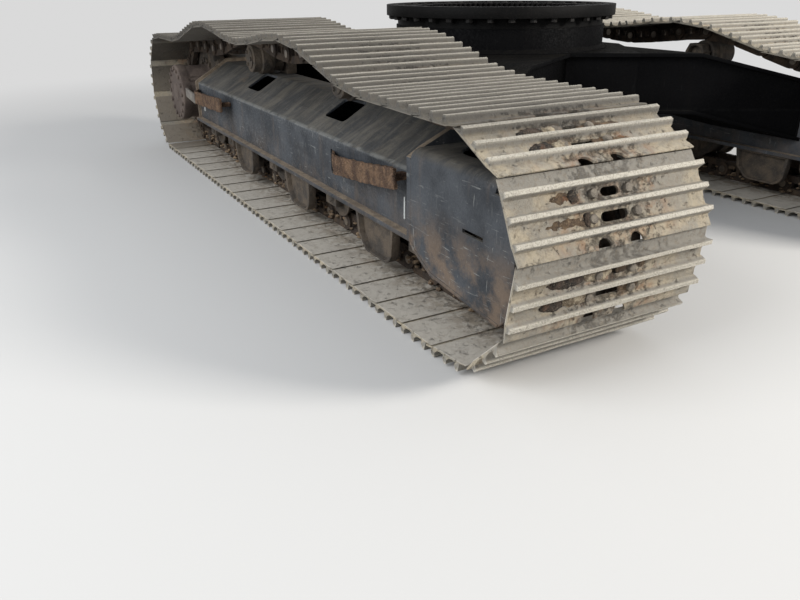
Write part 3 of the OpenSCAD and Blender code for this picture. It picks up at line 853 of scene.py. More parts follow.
FINISHES = (
    ShoeSteel(),
    FramePaint(),
    # The carbody's dark paint, made near black as painted shade for the shadow that the upper
    # structure, which is not modelled, casts on it.
    FramePaint(
        "carbody_paint", (4, 4, 5), (7, 7, 8), (34, 31, 26), (14, 13, 12), (13, 11, 10),
        (44, 44, 43), (24, 22, 19), top_dust=0.36, scratches=0.10, stain=0.3, gloss=0.04,
    ),
    DriedMud("dried_mud", (132, 112, 88), (170, 154, 128), (66, 53, 42), (122, 90, 64)),
    DriedMud("dark_mud", (64, 51, 41), (150, 138, 118), (28, 23, 19), (92, 66, 48)),
    DriedMud("pale_mud", (160, 148, 126), (204, 194, 170), (92, 79, 63), (132, 108, 82)),
    DriedMud("red_mud", (98, 80, 60), (148, 130, 104), (54, 42, 32), (112, 76, 50)),
    BareSteel(
        "bare_patch", (176, 178, 176), (192, 193, 190), (150, 149, 145), 0.7, 0.0005, 20
    ),
    BareSteel("tab_steel", (92, 87, 82), (120, 115, 108), (150, 142, 130), 0.85, 0.003, 18),
    BareSteel("edge_dust", (96, 85, 73), (122, 109, 93), (152, 140, 122), 0.9, 0.004, 22),
    BareSteel("chain_steel", (44, 36, 30), (68, 55, 43), (108, 94, 75), 0.9, 0.004, 16),
    BareSteel("wheel_steel", (54, 49, 44), (82, 72, 61), (120, 108, 92), 0.85, 0.004, 13),
    BareSteel(
        "tread_steel", (92, 84, 76), (128, 118, 106), (150, 140, 128), 0.42, 0.001, 14, 0.7
    ),
    BareSteel("drive_paint", (70, 60, 55), (90, 79, 72), (122, 111, 99), 0.85, 0.003, 9),
    BareSteel("step_rust", (84, 63, 50), (128, 101, 78), (184, 164, 130), 0.92, 0.014, 22),
    # Painted shade: the slew ring is near black for the shadow under the upper structure, which is
    # not modelled.
    BareSteel("ring_steel", (6, 6, 6), (11, 10, 10), (30, 27, 23), 0.6, 0.001, 8, gloss=0.08),
    BareSteel(
        "bolt_steel", (96, 89, 80), (124, 116, 104), (156, 148, 132), 0.75, 0.003, 40, 0.05
    ),
    # Painted shade: the slew ring's bolts are near black for the same shadow.
    BareSteel("dark_bolt", (16, 15, 15), (27, 25, 23), (56, 51, 45), 0.65, 0.001, 40, gloss=0.2),
    BareSteel("drive_bolt", (48, 42, 39), (64, 57, 52), (100, 92, 84), 0.8, 0.001, 40),
    BareSteel("motor_paint", (36, 38, 40), (54, 52, 50), (92, 84, 74), 0.7, 0.002, 9),
    BareSteel(
        "swivel_metal", (84, 84, 84), (104, 102, 98), (130, 124, 116), 0.5, 0.001, 12, 0.5
    ),
)


# The chain's line


@dataclass(frozen=True)
class ChainLine:
    """The closed line of one track's pins, worked out as the solids were."""

    gauge_half: float = 1.295
    axle_distance: float = 4.038
    pitch: float = 0.215
    shoes: int = 48
    pin_h: float = 0.052
    link_h: float = 0.110
    plate_t: float = 0.012
    grouser_h: float = 0.025
    teeth: int = 21
    idler_r: float = 0.280
    carrier_x: Span = (-0.730, 0.600)
    carrier_z: Span = (0.984, 0.978)
    front_slope: Span = (0.570, 0.006)
    rear_slope: float = 0.460
    sag: float = 0.058
    run_steps: int = 12
    arc_steps: int = 24

    @property
    def shoe_in(self) -> float:
        """Height of a shoe's inner face above the line of the pins."""
        return self.link_h - self.pin_h

    @property
    def grouser_out(self) -> float:
        """Height of a crest above the line of the pins."""
        return self.shoe_in + self.plate_t + self.grouser_h

    @property
    def pitch_r(self) -> float:
        """Radius of the pins' circle on the sprocket."""
        return self.pitch / 2 / math.sin(math.tau / self.teeth)

    @property
    def sprocket_line(self) -> float:
        """Distance of a straight link's line from the sprocket's axle."""
        return self.pitch_r * math.cos(math.tau / self.teeth)

    @property
    def idler_line(self) -> float:
        """Distance of a straight link's line from the idler's axle."""
        return self.idler_r + self.pin_h

    @property
    def sprocket(self) -> Vector:
        """The sprocket's axle, as X and Z."""
        out, line = self.grouser_out, self.sprocket_line
        half = (self.axle_distance + line + self.idler_line + 2 * out) / 2
        return Vector((-half + line + out, out + line))

    @property
    def idler(self) -> Vector:
        """The idler's axle, as X and Z."""
        x = self.sprocket.x + self.axle_distance
        return Vector((x, self.grouser_out + self.idler_line))

    def arc(self, axle: Vector, radius: float, start: float) -> list[tuple[Vector, float]]:
        """Give the points round a wheel.

        Args:
            axle: The wheel's middle.
            radius: Radius of the pins' circle.
            start: Angle from straight down where the straight run meets it.

        Returns:
            Each point with the links that the step up to it takes.
        """
        half = math.asin(self.pitch / 2 / radius)
        sweep = math.pi - 2 * half
        links = sweep / self.arc_steps / (2 * half)
        angles = [start + half + sweep * (i + 1) / self.arc_steps for i in range(self.arc_steps)]
        return [(axle + radius * Vector((math.sin(a), -math.cos(a))), links) for a in angles]

    def knots(self) -> list[Vector]:
        """Work out the top run's high and low points.

        Returns:
            The points, from the idler to the sprocket.
        """
        rear, front = self.carrier_x
        rear_z, front_z = (z - self.shoe_in for z in self.carrier_z)
        idler_top = self.idler.y + self.idler_line
        sprocket_top = self.sprocket.y + self.sprocket_line
        knots = (
            (self.idler.x + self.pitch / 2, idler_top),
            (self.idler.x - self.front_slope[0], idler_top + self.front_slope[1]),
            (front, front_z), ((front + rear) / 2, front_z - self.sag), (rear, rear_z),
            (self.sprocket.x + self.rear_slope, sprocket_top),
            (self.sprocket.x - self.pitch / 2, sprocket_top),
        )
        return [Vector(knot) for knot in knots]

    def steps(self) -> list[tuple[Vector, float]]:
        """Follow the whole line.

        Returns:
            Its points, each with the links up to it.
        """
        start = Vector((self.sprocket.x - self.pitch / 2, self.grouser_out))
        end = Vector((self.idler.x + self.pitch / 2, self.grouser_out))
        line = [(start, 0.0), (end, (end - start).length / self.pitch)]
        line += self.arc(self.idler, Vector((self.idler_line, self.pitch / 2)).length, 0.0)
        knots = self.knots()
        for first, second in zip(knots, knots[1:]):
            before = first
            for i in range(1, self.run_steps + 1):
                share = i / self.run_steps
                height = first.y + (second.y - first.y) * (1 - math.cos(math.pi * share)) / 2
                point = Vector((first.x + (second.x - first.x) * share, height))
                line.append((point, (point - before).length / self.pitch))
                before = point
        return line + self.arc(self.sprocket, self.pitch_r, math.pi)

    def pins(self) -> list[Vector]:
        """Share the line out between the links.

        Returns:
            Every pin's place, as X and Z.
        """
        line = self.steps()
        sums = [0.0]
        for _, links in line[1:]:
            sums.append(sums[-1] + links)
        pins = []
        row = 0
        for i in range(self.shoes):
            want = i * sums[-1] / self.shoes
            while sums[row + 1] < want:
                row += 1
            share = (want - sums[row]) / (sums[row + 1] - sums[row])
            pins.append(line[row][0].lerp(line[row + 1][0], share))
        return pins

    def places(self, middle: float) -> list[Matrix]:
        """Give each shoe's place.

        Args:
            middle: Y of the track's middle.

        Returns:
            Matrices that take a shoe from its own axes, with X along the track from pin to
            pin and Z outwards from the line of its pins, to its place.
        """
        pins = self.pins()
        found = []
        for pin, following in zip(pins, pins[1:] + pins[:1]):
            x, z = (following - pin).normalized()
            at = (pin + following) / 2
            rows = (x, 0, z, at.x), (0, -1, 0, middle), (z, 0, -x, at.y), (0, 0, 0, 1)
            found.append(Matrix(rows))
        return found


# The tracks


@dataclass
class Shoe:
    """One triple grouser shoe, modelled once on its own axes."""

    line: ChainLine
    looks: dict[str, Finish]
    width: float = 0.800
    crests: tuple[float, ...] = (-0.073, 0.004, 0.078)
    tip_hw: float = 0.0083
    root_hw: float = 0.0172
    rib_foot: float = 0.0085
    lip_end: float = -0.1292
    lip_raise: float = 0.0088
    nose_end: float = 0.1290
    nose_height: float = 0.55
    end_cut: float = 0.007
    slots: tuple[Span, ...] = ((0.109, 0.031), (0.074, 0.028))
    bolt_y: Span = (0.0896, 0.070)
    bolt_r: float = 0.0165
    bolt_h: float = 0.0165
    notch_at: Span = (-0.1230, 0.0655)
    notch_r: float = 0.0270
    cuts: tuple[float, ...] = (0.388, 0.33, 0.27, 0.20, 0.125, 0.04)

    @property
    def valley(self) -> float:
        """Height of a valley's floor above the line of the pins."""
        return self.line.shoe_in + self.line.plate_t - 0.002

    @property
    def valleys(self) -> Span:
        """Middle of the valley on the lip's side and of the one on the nose's side."""
        low, middle, high = self.crests
        return (low + middle) / 2, (middle + high) / 2

    def outline(self) -> list[Span]:
        """Draw the cross section.

        Returns:
            Its points, from the lip over the crests to the nose and back.
        """
        inner, valley, tip = self.line.shoe_in, self.valley, self.line.grouser_out
        end, nose, lip = self.lip_end, self.nose_end, self.line.shoe_in + self.lip_raise
        points = [
            (end, lip), (end, lip + 0.0042), (end + 0.003, lip + 0.0060),
            (end + 0.020, valley + 0.0040),
        ]
        rib = (
            (self.root_hw, valley + 0.0015),
            (self.root_hw * 0.70, valley + self.rib_foot),
            (self.tip_hw + 0.0012, tip - 0.0035),
            (self.tip_hw - 0.0010, tip),
        )
        for middle in self.crests:
            points += [(middle - across, height) for across, height in rib]
            points += [(middle + across, height) for across, height in reversed(rib)]
            if middle != self.crests[2]:
                points.append((middle + (self.crests[1] - self.crests[0]) / 2, valley - 0.0015))
        steep = self.crests[2] + self.tip_hw
        points[-2:] = [(steep, valley + 0.006), (steep + 0.0004, valley + 0.0005)]
        return points + [
            (steep + 0.0040, valley - 0.0035), (nose - 0.026, inner + 0.0040),
            (nose - 0.008, inner + 0.0022), (nose, inner + 0.0002),
            (nose - 0.001, inner - 0.0012), (nose - 0.020, inner - 0.0004),
            (nose - 0.040, inner), (end + 0.060, inner), (end + 0.046, inner + 0.0036),
            (end + 0.022, lip - 0.0030),
        ]

    def plate(self) -> Piece:
        """Extrude the cross section, cut its slots and notches and draw its valleys' ends in.

        Returns:
            The plate.
        """
        half, floor = self.width / 2, self.valley + 0.0075
        piece = extruded(self.outline(), "XZ", -half, half)
        for y in self.cuts:
            cut_across(piece, (0, y, 0), (0, 1, 0))
            cut_across(piece, (0, -y, 0), (0, 1, 0))
        for end in (-1, 1):
            select(
                piece, Part.VERT,
                lambda point: point.co.y * end > half - 0.001 and point.co.z < floor,
            )
            bpy.ops.transform.translate(value=(0, -end * self.end_cut, 0))
        low, high = self.line.shoe_in - 0.02, self.line.grouser_out + 0.02
        for middle, slot in zip(self.valleys, self.slots):
            outline = [(x + middle, y) for x, y in oblong(*slot)]
            carve(piece, extruded(outline, "XY", low, high))
        for end in (-1, 1):
            x, y = self.notch_at
            carve(piece, rod(self.notch_r, (x, end * y, low), (x, end * y, high), 18))
        return piece

    def bolts(self) -> Piece:
        """Model a worn bolt head with its washer face and copy it to its four places.

        Returns:
            The heads.
        """
        head = rod(self.bolt_r, (0, 0, 0), (0, 0, self.bolt_h), 8)
        select(head, Part.FACE, lambda face: face.normal.z > 0.5)
        bpy.ops.mesh.bevel(offset=self.bolt_r * 0.42, segments=2)
        deselect()
        spots = [(x, end * y) for x, y in zip(self.valleys, self.bolt_y) for end in (-1, 1)]
        places = [Matrix.Translation((*spot, self.valley - 0.003)) for spot in spots]
        heads = copies(head, places, "bolts")
        bpy.data.objects.remove(head)
        return heads

    def height(self, place: Vector) -> float:
        """Tell how high a point is.

        Args:
            place: The point on the shoe.

        Returns:
            0 in a valley and 1 on a crest, with one height for the whole nose.
        """
        if place.x > self.crests[2] + self.tip_hw and place.z > self.line.shoe_in + 0.0001:
            return self.nose_height
        return (place.z - self.valley) / (self.line.grouser_out - self.valley)

    def build(self) -> Piece:
        """Model the whole shoe.

        Returns:
            The shoe, with each point's height and its place across the track stored.
        """
        plate = paint(self.plate(), self.looks["shoe_steel"])
        shoe = joined([plate, paint(self.bolts(), self.looks["bolt_steel"])], "shoe")
        mark(shoe, "height", self.height)
        mark(shoe, "across", lambda place: place.y)
        return shoe


@dataclass
class Link:
    """One link of the chain, with the bushing and the pin's ends at its first pin."""

    line: ChainLine
    looks: dict[str, Finish]
    gap: float = 0.104
    width: float = 0.058
    plate_y: Span = (0.064, 0.096)
    boss_r: float = 0.044
    boss_y: tuple[Span, ...] = ((0.078, 0.110), (0.052, 0.078))
    bushing_r: float = 0.030
    pin_r: float = 0.021
    pin_out: float = 0.003
    window: Span = (0.046, 0.036)
    window_at: Span = (0.036, 0.006)

    def outline(self) -> list[Span]:
        """Draw a link's side view.

        Returns:
            Its points, from the rail's rear end round its pads.
        """
        half, rail, pad = self.line.pitch / 2, -self.line.pin_h, self.line.shoe_in
        return [
            (-half + 0.012, rail + 0.002), (-half + 0.030, rail), (half - 0.030, rail),
            (half - 0.012, rail + 0.002), (half + 0.016, rail + 0.020), (half + 0.022, 0.010),
            (half - 0.006, 0.040), (half - 0.026, pad), (-half + 0.026, pad),
            (-half + 0.006, 0.040), (-half - 0.022, 0.010), (-half - 0.016, rail + 0.020),
        ]

    def plate(self) -> Piece:
        """Extrude the side view, cut the nuts' windows and add the bosses round the pins.

        Returns:
            One of a link's two plates.
        """
        piece = extruded(self.outline(), "XZ", *self.plate_y)
        (length, height), (inner, outer) = self.window, self.plate_y
        for side in (-1, 1):
            x, z = side * self.window_at[0], self.window_at[1]
            low = (x - length / 2, inner - 0.01, z - height / 2)
            carve(piece, block(low, (x + length / 2, outer + 0.01, z + height / 2)))
        half = self.line.pitch / 2
        bosses = [
            rod(self.boss_r, (end * half, low, 0), (end * half, high, 0), 14)
            for end, (low, high) in zip((-1, 1), self.boss_y)
        ]
        return joined([piece, *bosses], "link_plate")

    def build(self) -> Piece:
        """Model the pair of links that lie under one shoe.

        Returns:
            The links with their pin and bushing.
        """
        near = paint(self.plate(), self.looks["chain_steel"])
        far = placed_copy(near, Matrix.Scale(-1, 4, (0, 1, 0)))
        x, inner = -self.line.pitch / 2, self.gap / 2
        outer = inner + self.width + self.pin_out
        bushing = rod(self.bushing_r, (x, -inner, 0), (x, inner, 0), 16)
        pin = rod(self.pin_r, (x, -outer, 0), (x, outer, 0), 14)
        for piece in (bushing, pin):
            paint(piece, self.looks["tread_steel"])
        return joined([near, far, bushing, pin], "link")


@dataclass
class Tracks:
    """The shoes and the chains of both tracks."""

    line: ChainLine
    looks: dict[str, Finish]
    worn_from: float = 0.7
    wear: float = 0.0035
    wear_scale: float = 24.0

    def build(self) -> None:
        """Lay copies of a shoe and a link along the line."""
        shoe = Shoe(self.line, self.looks).build()
        link = Link(self.line, self.looks).build()
        for side in Side:
            low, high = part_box(f"track_shoes_{side.word}")
            places = self.line.places((low.y + high.y) / 2)
            for first, word, slot in ((shoe, "shoes", "shoe_steel"), (link, "chain", "chain_steel")):
                name = f"{word}_{side.word}"
                piece = copies(first, places, name)
                if first is shoe:
                    self.dent(piece)
                smooth(piece, 38)
                hand_in(piece, name, nodes=[f"track_{name}"])
        for first in (shoe, link):
            bpy.data.objects.remove(first)

    def dent(self, shoes: Piece) -> None:
        """Wear the crests a little, inwards only, and differently from one to the next.

        Args:
            shoes: The shoes of one track.
        """
        layer = shoes.data.attributes["height"]
        normals = [point.normal.copy() for point in shoes.data.vertices]
        for point, normal, height in zip(shoes.data.vertices, normals, layer.data):
            if height.value > self.worn_from:
                rough = 0.5 + 0.5 * noise.fractal(point.co * self.wear_scale, 1.0, 2.0, 2)
                point.co -= normal * min(max(rough, 0.0), 1.0) * self.wear


# The pieces that the solids already hold


@dataclass(frozen=True)
class Skin:
    """A node that keeps its shape: its name or stem, finish, rounding, slot and body."""

    node: str
    finish: str
    bevel: float
    slot: str = ""
    body: str = CARBODY


SIDE_SKINS = (
    Skin("idler_guard", "frame_paint", 0.003),
    Skin("motor_guard", "frame_paint", 0.002),
    Skin("chain_guards", "wheel_steel", 0.002),
    Skin("idler", "wheel_steel", 0.002),
    Skin("idler_yoke", "wheel_steel", 0.002),
    Skin("sprocket", "wheel_steel", 0.001),
    Skin("final_drive", "drive_paint", 0.003),
    Skin("travel_motor", "motor_paint", 0.003, "frame_paint"),
    Skin("track_rollers", "wheel_steel", 0.002),
    Skin("carrier_roller_rear", "wheel_steel", 0.002),
    Skin("leg_rear", "carbody_paint", 0.001),
    Skin("carrier_roller_front", "wheel_steel", 0.002),
    Skin("leg_front", "carbody_paint", 0.001),
)
MIDDLE_SKINS = (
    Skin("carbody_centre", "carbody_paint", 0.001),
    Skin("bottom_cover", "carbody_paint", 0.001),
    Skin("tower", "carbody_paint", 0.001),
    Skin("slew_inner_race", "ring_steel", 0.0),
    Skin("slew_outer_race", "ring_steel", 0.0015, body=RING),
    Skin("swivel_barrel", "swivel_metal", 0.002),
    Skin("swivel_stem", "swivel_metal", 0.002, body=RING),
)


@dataclass
class Solids:
    """The CAD solids that keep their shape, rounded at their edges and given their finish."""

    looks: dict[str, Finish]
    frame_bevel: float = 0.004
    rail_top: float = 0.2985
    rail_in: float = 0.2115
    plate_rear: float = 1.5562
    rear_edge: float = -1.6610
    step_voxel: float = 0.008
    step_bow: float = 0.020
    step_spans: tuple[Span, ...] = ((0.93, 1.45), (-1.45, -0.95))
    step_scale: tuple[Span, ...] = ((0.045, 0.0080), (0.014, 0.0050))

    def rounded(self, skin: Skin, ending: str = "") -> None:
        """Replace a node by a copy with rounded edges.

        Args:
            skin: The node and its look.
            ending: What follows the stem of the node's name.
        """
        node = skin.node + ending
        piece = paint(node_copy(node, skin.bevel), self.looks[skin.finish])
        smooth(piece, 32)
        hand_in(piece, f"{node}_skin", skin.body, [node])

    def frame(self, node: str) -> None:
        """Dress a track frame, with bare dusty edges on the rails that its rollers hang from.

        Args:
            node: The frame's node.
        """
        piece = paint(node_copy(node, self.frame_bevel), self.looks["frame_paint"])
        piece.data.materials.append(self.looks["edge_dust"])
        cut_across(piece, (self.rear_edge, 0, 0), (1, 0, 0))
        middle = sum(corner.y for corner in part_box(node)) / 2
        for face in piece.data.polygons:
            x, y, z = face.center
            rail = z < self.rail_top and abs(y - middle) > self.rail_in
            plate = x > self.plate_rear and abs(face.normal.x) < 0.5
            end = x < self.rear_edge and z > self.rail_top
            face.material_index = int(rail or plate or end)
        smooth(piece, 32)
        hand_in(piece, f"{node}_skin", nodes=[node])

    def steps(self, node: str) -> None:
        """Dress a side's steps in thick scaling rust.

        Args:
            node: The steps' node.
        """
        piece = node_copy(node)
        modify(piece, "REMESH", mode="VOXEL", voxel_size=self.step_voxel)
        inwards = -math.copysign(1, piece.data.vertices[0].co.y)
        for point in piece.data.vertices:
            for start, end in self.step_spans:
                if start < point.co.x < end:
                    sag = math.sin(math.pi * (point.co.x - start) / (end - start))
                    point.co.y += inwards * self.step_bow * sag
                    point.co.z -= self.step_bow * 0.5 * sag
        for scale, depth in self.step_scale:
            cloud = bpy.data.textures.new("scale", "CLOUDS")
            cloud.noise_scale = scale
            modify(
                piece, "DISPLACE", texture=cloud, texture_coords="GLOBAL", strength=depth,
                mid_level=0.6,
            )
        smooth(paint(piece, self.looks["step_rust"]), 40)
        hand_in(piece, f"{node}_skin", nodes=[node])

    def build(self) -> None:
        """Dress every node that no modelled piece replaces."""
        for side in Side:
            self.frame(f"track_frame_{side.word}")
            self.steps(f"steps_{side.word}")
            for skin in SIDE_SKINS:
                self.rounded(skin, f"_{side.word}")
        for skin in MIDDLE_SKINS:
            self.rounded(skin)


# Bolts, marks, welds and mud


@dataclass
class Fasteners:
    """Bolt heads on their circles, each kind modelled once.

    A circle about the sprocket's axle is given by its face outboard of the track's middle,
    its radius, its count and the turn of its first bolt.
    """

    line: ChainLine
    looks: dict[str, Finish]
    cover_circle: tuple[float, ...] = (0.299, 0.176, 16)
    sprocket_circle: tuple[float, ...] = (0.042, 0.228, 20, 0.02)
    drive_circle: tuple[float, ...] = (-0.130, 0.222, 20)
    motor_circle: tuple[float, ...] = (-0.226, 0.150, 8, 0.03)
    roller_z: float = 0.2373
    roller_x: Span = (-1.450746, 1.527254)
    rollers: int = 8
    shaft_y: float = 0.190
    race_bolts: int = 36
    race_bolt_r: float = 0.668
    race_under: float = 1.035
    inner_bolt_r: float = 0.602
    inner_top: float = 1.0833
    cover_under: float = 0.5077
    cover_bolt_r: float = 0.311
    swivel_top: float = 0.8703
    swivel_bolt_r: float = 0.171
    cap_y: float = 0.104
    cap_bolt_r: float = 0.042
    carrier_z: Span = (0.785, 0.779)

    def head(self, flats: float, height: float) -> Piece:
        """Model a six sided head on its washer, standing up from the ground.

        Args:
            flats: Width across the flats.
            height: Height over the washer.

        Returns:
            The head.
        """
        washer = rod(flats * 0.68, (0, 0, -0.002), (0, 0, 0.0025), 14)
        top = rod(flats / math.sqrt(3), (0, 0, 0), (0, 0, height), 6)
        select(top, Part.FACE, lambda face: face.normal.z > 0.5)
        bpy.ops.mesh.bevel(offset=flats * 0.07, segments=1)
        deselect()
        return joined([washer, top], "head")

    def ring(
        self, middle: Point, axis: Point, radius: float, count: int, start: float = 0.0
    ) -> list[Matrix]:
        """Give the places of a circle of bolts.

        Args:
            middle: The circle's middle, on the face that the heads lie on.
            axis: The way the heads point.
            radius: The circle's radius.
            count: How many bolts it has.
            start: Angle of the first, in turns.

        Returns:
            One matrix for each bolt.
        """
        turn = Vector(axis).to_track_quat("Z", "Y").to_matrix().to_4x4()
        base = Matrix.Translation(middle) @ turn
        return [
            base @ Matrix.Translation((radius * math.cos(a), radius * math.sin(a), 0))
            @ Matrix.Rotation(2.4 * a, 4, "Z")
            for a in (math.tau * (start + i / count) for i in range(count))
        ]

    def put(
        self, name: str, slot: str, size: Span, places: Sequence[Matrix], finish: str = "",
        body: str = CARBODY,
    ) -> None:
        """Copy a head to its places.

        Args:
            name: The bolts' name.
            slot: The name of its finish, unless finish is given.
            size: The head's width and height.
            places: Where the heads stand.
            finish: Its finish, if that isn't named as the slot is.
            body: The CAD body that carries it.
        """
        head = paint(self.head(*size), self.looks[finish or slot])
        piece = copies(head, places, name)
        bpy.data.objects.remove(head)
        smooth(piece, 30)
        hand_in(piece, name, body)

    def side(self, side: Side) -> None:
        """Put the bolts on one track's drive, rollers and carrier rollers.

        Args:
            side: The track.
        """
        out, word, axle = side.value, side.word, self.line.sprocket
        outwards, inwards = (0, out, 0), (0, -out, 0)

        def at(x: float, y: float, z: float) -> Point:
            """Give a place from its distance outboard of the track's middle."""
            return x, out * (self.line.gauge_half + y), z

        def about(axis: Point, face: float, *values: float) -> list[Matrix]:
            """Give the places of a circle about the sprocket's axle."""
            return self.ring(at(axle.x, face, axle.y), axis, *values)

        drive = about(inwards, *self.drive_circle) + about(inwards, *self.motor_circle)
        first, last = self.roller_x
        step = (last - first) / (self.rollers - 1)
        shafts, caps = [], []
        for i in range(self.rollers):
            for y, axis in ((self.shaft_y, outwards), (-self.shaft_y, inwards)):
                shafts += self.ring(at(first + i * step, y, self.roller_z), axis, 0, 1)
        for x, z in zip(self.line.carrier_x, self.carrier_z):
            caps += self.ring(at(x, self.cap_y, z), outwards, self.cap_bolt_r, 3)
        for stem, slot, size, places in (
            ("cover", "drive_paint", (0.026, 0.012), about(outwards, *self.cover_circle)),
            ("sprocket", "wheel_steel", (0.034, 0.016), about(outwards, *self.sprocket_circle)),
        ):
            self.put(f"{stem}_bolts_{word}", slot, size, places)
        self.put(f"drive_bolts_{word}", "frame_paint", (0.030, 0.012), drive, "drive_bolt")
        self.put(f"shaft_ends_{word}", "wheel_steel", (0.050, 0.007), shafts)
        self.put(f"carrier_bolts_{word}", "wheel_steel", (0.019, 0.009), caps)

    def build(self) -> None:
        """Put every bolt of the machine in its place."""
        race = self.ring((0, 0, self.race_under), DOWN, self.race_bolt_r, self.race_bolts)
        inner = self.ring((0, 0, self.inner_top), UP, self.inner_bolt_r, self.race_bolts)
        cover = self.ring((0, 0, self.cover_under), DOWN, self.cover_bolt_r, 16)
        swivel = self.ring((0, 0, self.swivel_top), UP, self.swivel_bolt_r, 8)
        self.put("race_bolts", "ring_steel", (0.036, 0.022), race, "dark_bolt", RING)
        self.put("inner_race_bolts", "ring_steel", (0.030, 0.0110), inner, "dark_bolt")
        self.put("bottom_cover_bolts", "carbody_paint", (0.024, 0.012), cover)
        self.put("swivel_bolts", "swivel_metal", (0.024, 0.012), swivel)
        for side in Side:
            self.side(side)


@dataclass
class Marks:
    """Small plates and bare patches on the outboard face of a track frame."""

    looks: dict[str, Finish]
    face: float = 1.505
    patches: tuple[tuple[float, ...], ...] = (
        (1.4680, 1.4760, 0.338, 0.430), (-1.604, -1.592, 0.392, 0.414),
        (-1.578, -1.568, 0.396, 0.418), (-1.558, -1.538, 0.356, 0.395),
    )
    patch_t: float = 0.003
    patch_lean: float = 0.25
    tab_x: Span = (-1.800, -1.560)
    tab_y: Span = (1.557, 1.575)
    tab_z: Span = (0.432, 0.500)
    tab_drop: float = 0.022

    def chip(self, y: float, left: float, right: float, low: float, high: float) -> Piece:
        """Lay one bare patch, which leans over at its top.

        Args:
            y: The face that it lies on.
            left: Where it starts along X.
            right: Where it ends.
            low: Its lower edge.
            high: Its upper edge.

        Returns:
            The patch.
        """
        piece = block((left, y - self.patch_t, low), (right, y + self.patch_t, high))
        for point in piece.data.vertices:
            if point.co.z > (low + high) / 2:
                point.co.x += (right - left) * self.patch_lean
        return piece

    def build(self) -> None:
        """Lay the bare patches and the plates behind the rear steps."""
        for side in Side:
            chips = [self.chip(side.value * self.face, *patch) for patch in self.patches]
            piece = paint(joined(chips, "patches"), self.looks["bare_patch"])
            hand_in(piece, f"bare_patches_{side.word}")
            ends = sorted(side.value * y for y in self.tab_y)
            tab = block(*zip(self.tab_x, ends, self.tab_z))
            for point in tab.data.vertices:
                if point.co.x > sum(self.tab_x) / 2:
                    point.co.z -= self.tab_drop
            modify(tab, "BEVEL", width=0.006, segments=2)
            smooth(paint(tab, self.looks["tab_steel"]))
            hand_in(tab, f"step_tab_{side.word}")


@dataclass
class Welds:
    """Beads of weld where plates meet."""

    line: ChainLine
    looks: dict[str, Finish]
    frame_hw: float = 0.210
    leg_angle: float = 55.4
    leg_x: float = 0.658
    webs: Span = (-0.002, 0.442)
    flanges: Span = (-0.024, 0.464)
    deck_z: float = 0.850
    leg_from: float = 0.590
    leg_fall: float = 0.29
    leg_h: float = 0.31
    lowest: float = 0.3
    tower_foot_r: float = 0.665

    def bead(self, points: Sequence[Point], radius: float) -> Piece:
        """Run a rippled bead along a line of points.

        Args:
            points: The line's corners.
            radius: The bead's radius.

        Returns:
            The bead.
        """
        curve = bpy.data.curves.new("bead", "CURVE")
        curve.dimensions = "3D"
        curve.bevel_depth = radius
        curve.bevel_resolution = 1
        curve.use_fill_caps = True
        corners = [Vector(point) for point in points]
        line = []
        for first, second in zip(corners, corners[1:]):
            count = max(1, round((second - first).length / (radius * 3)))
            line += [first.lerp(second, i / count) for i in range(count)]
        line.append(corners[-1])
        spline = curve.splines.new("POLY")
        spline.points.add(len(line) - 1)
        for i, (point, place) in enumerate(zip(spline.points, line)):
            point.co = (*place, 1)
            point.radius = 1.12 if i % 2 else 0.88
        piece = bpy.data.objects.new("bead", curve)
        bpy.context.scene.collection.objects.link(piece)
        pick(piece)
        bpy.ops.object.convert(target="MESH")
        return bpy.context.object

    def leg(self, across: int, ahead: int) -> list[Piece]:
        """Weld one leg's foot to its track frame.

        Args:
            across: Sign of the leg's Y.
            ahead: Sign of the leg's X.

        Returns:
            The beads round the foot, on the web's two faces and along the flanges.
        """
        angle = math.radians(self.leg_angle)
        cos, sin = math.cos(angle), math.sin(angle)
        foot_y = self.line.gauge_half - self.frame_hw
        top = self.deck_z - (foot_y - self.leg_from) * self.leg_fall
        low = max(top - self.leg_h, self.lowest)
        y = across * (foot_y - 0.003)

        def foot_x(aside: float) -> float:
            """Give the X where a line along the leg, so far from its first web, ends."""
            return ahead * (self.leg_x + cos * ((foot_y - cos * aside) / sin) - sin * aside)

        beads = [
            self.bead([(x, y, top - 0.022), (x, y, low)], 0.007) for x in map(foot_x, self.webs)
        ]
        beads.append(self.bead([(x, y, top + 0.001) for x in map(foot_x, self.flanges)], 0.008))
        return beads

    def build(self) -> None:
        """Lay the beads of the carbody."""
        beads = [bead for across in (1, -1) for ahead in (1, -1) for bead in self.leg(across, ahead)]
        foot, z = self.tower_foot_r, self.deck_z + 0.0015
        circle = [math.tau * i / 72 for i in range(73)]
        beads.append(self.bead([(foot * math.cos(a), foot * math.sin(a), z) for a in circle], 0.006))
        piece = paint(joined(beads, "carbody_welds"), self.looks["carbody_paint"])
        smooth(piece, 60)
        hand_in(piece, "carbody_welds")


@dataclass(frozen=True)
class Heap:
    """Caked mud: its shoe, its valley, its middle outboard, its length and its kind."""

    shoe: int
    valley: int
    outboard: float
    length: float
    kind: str


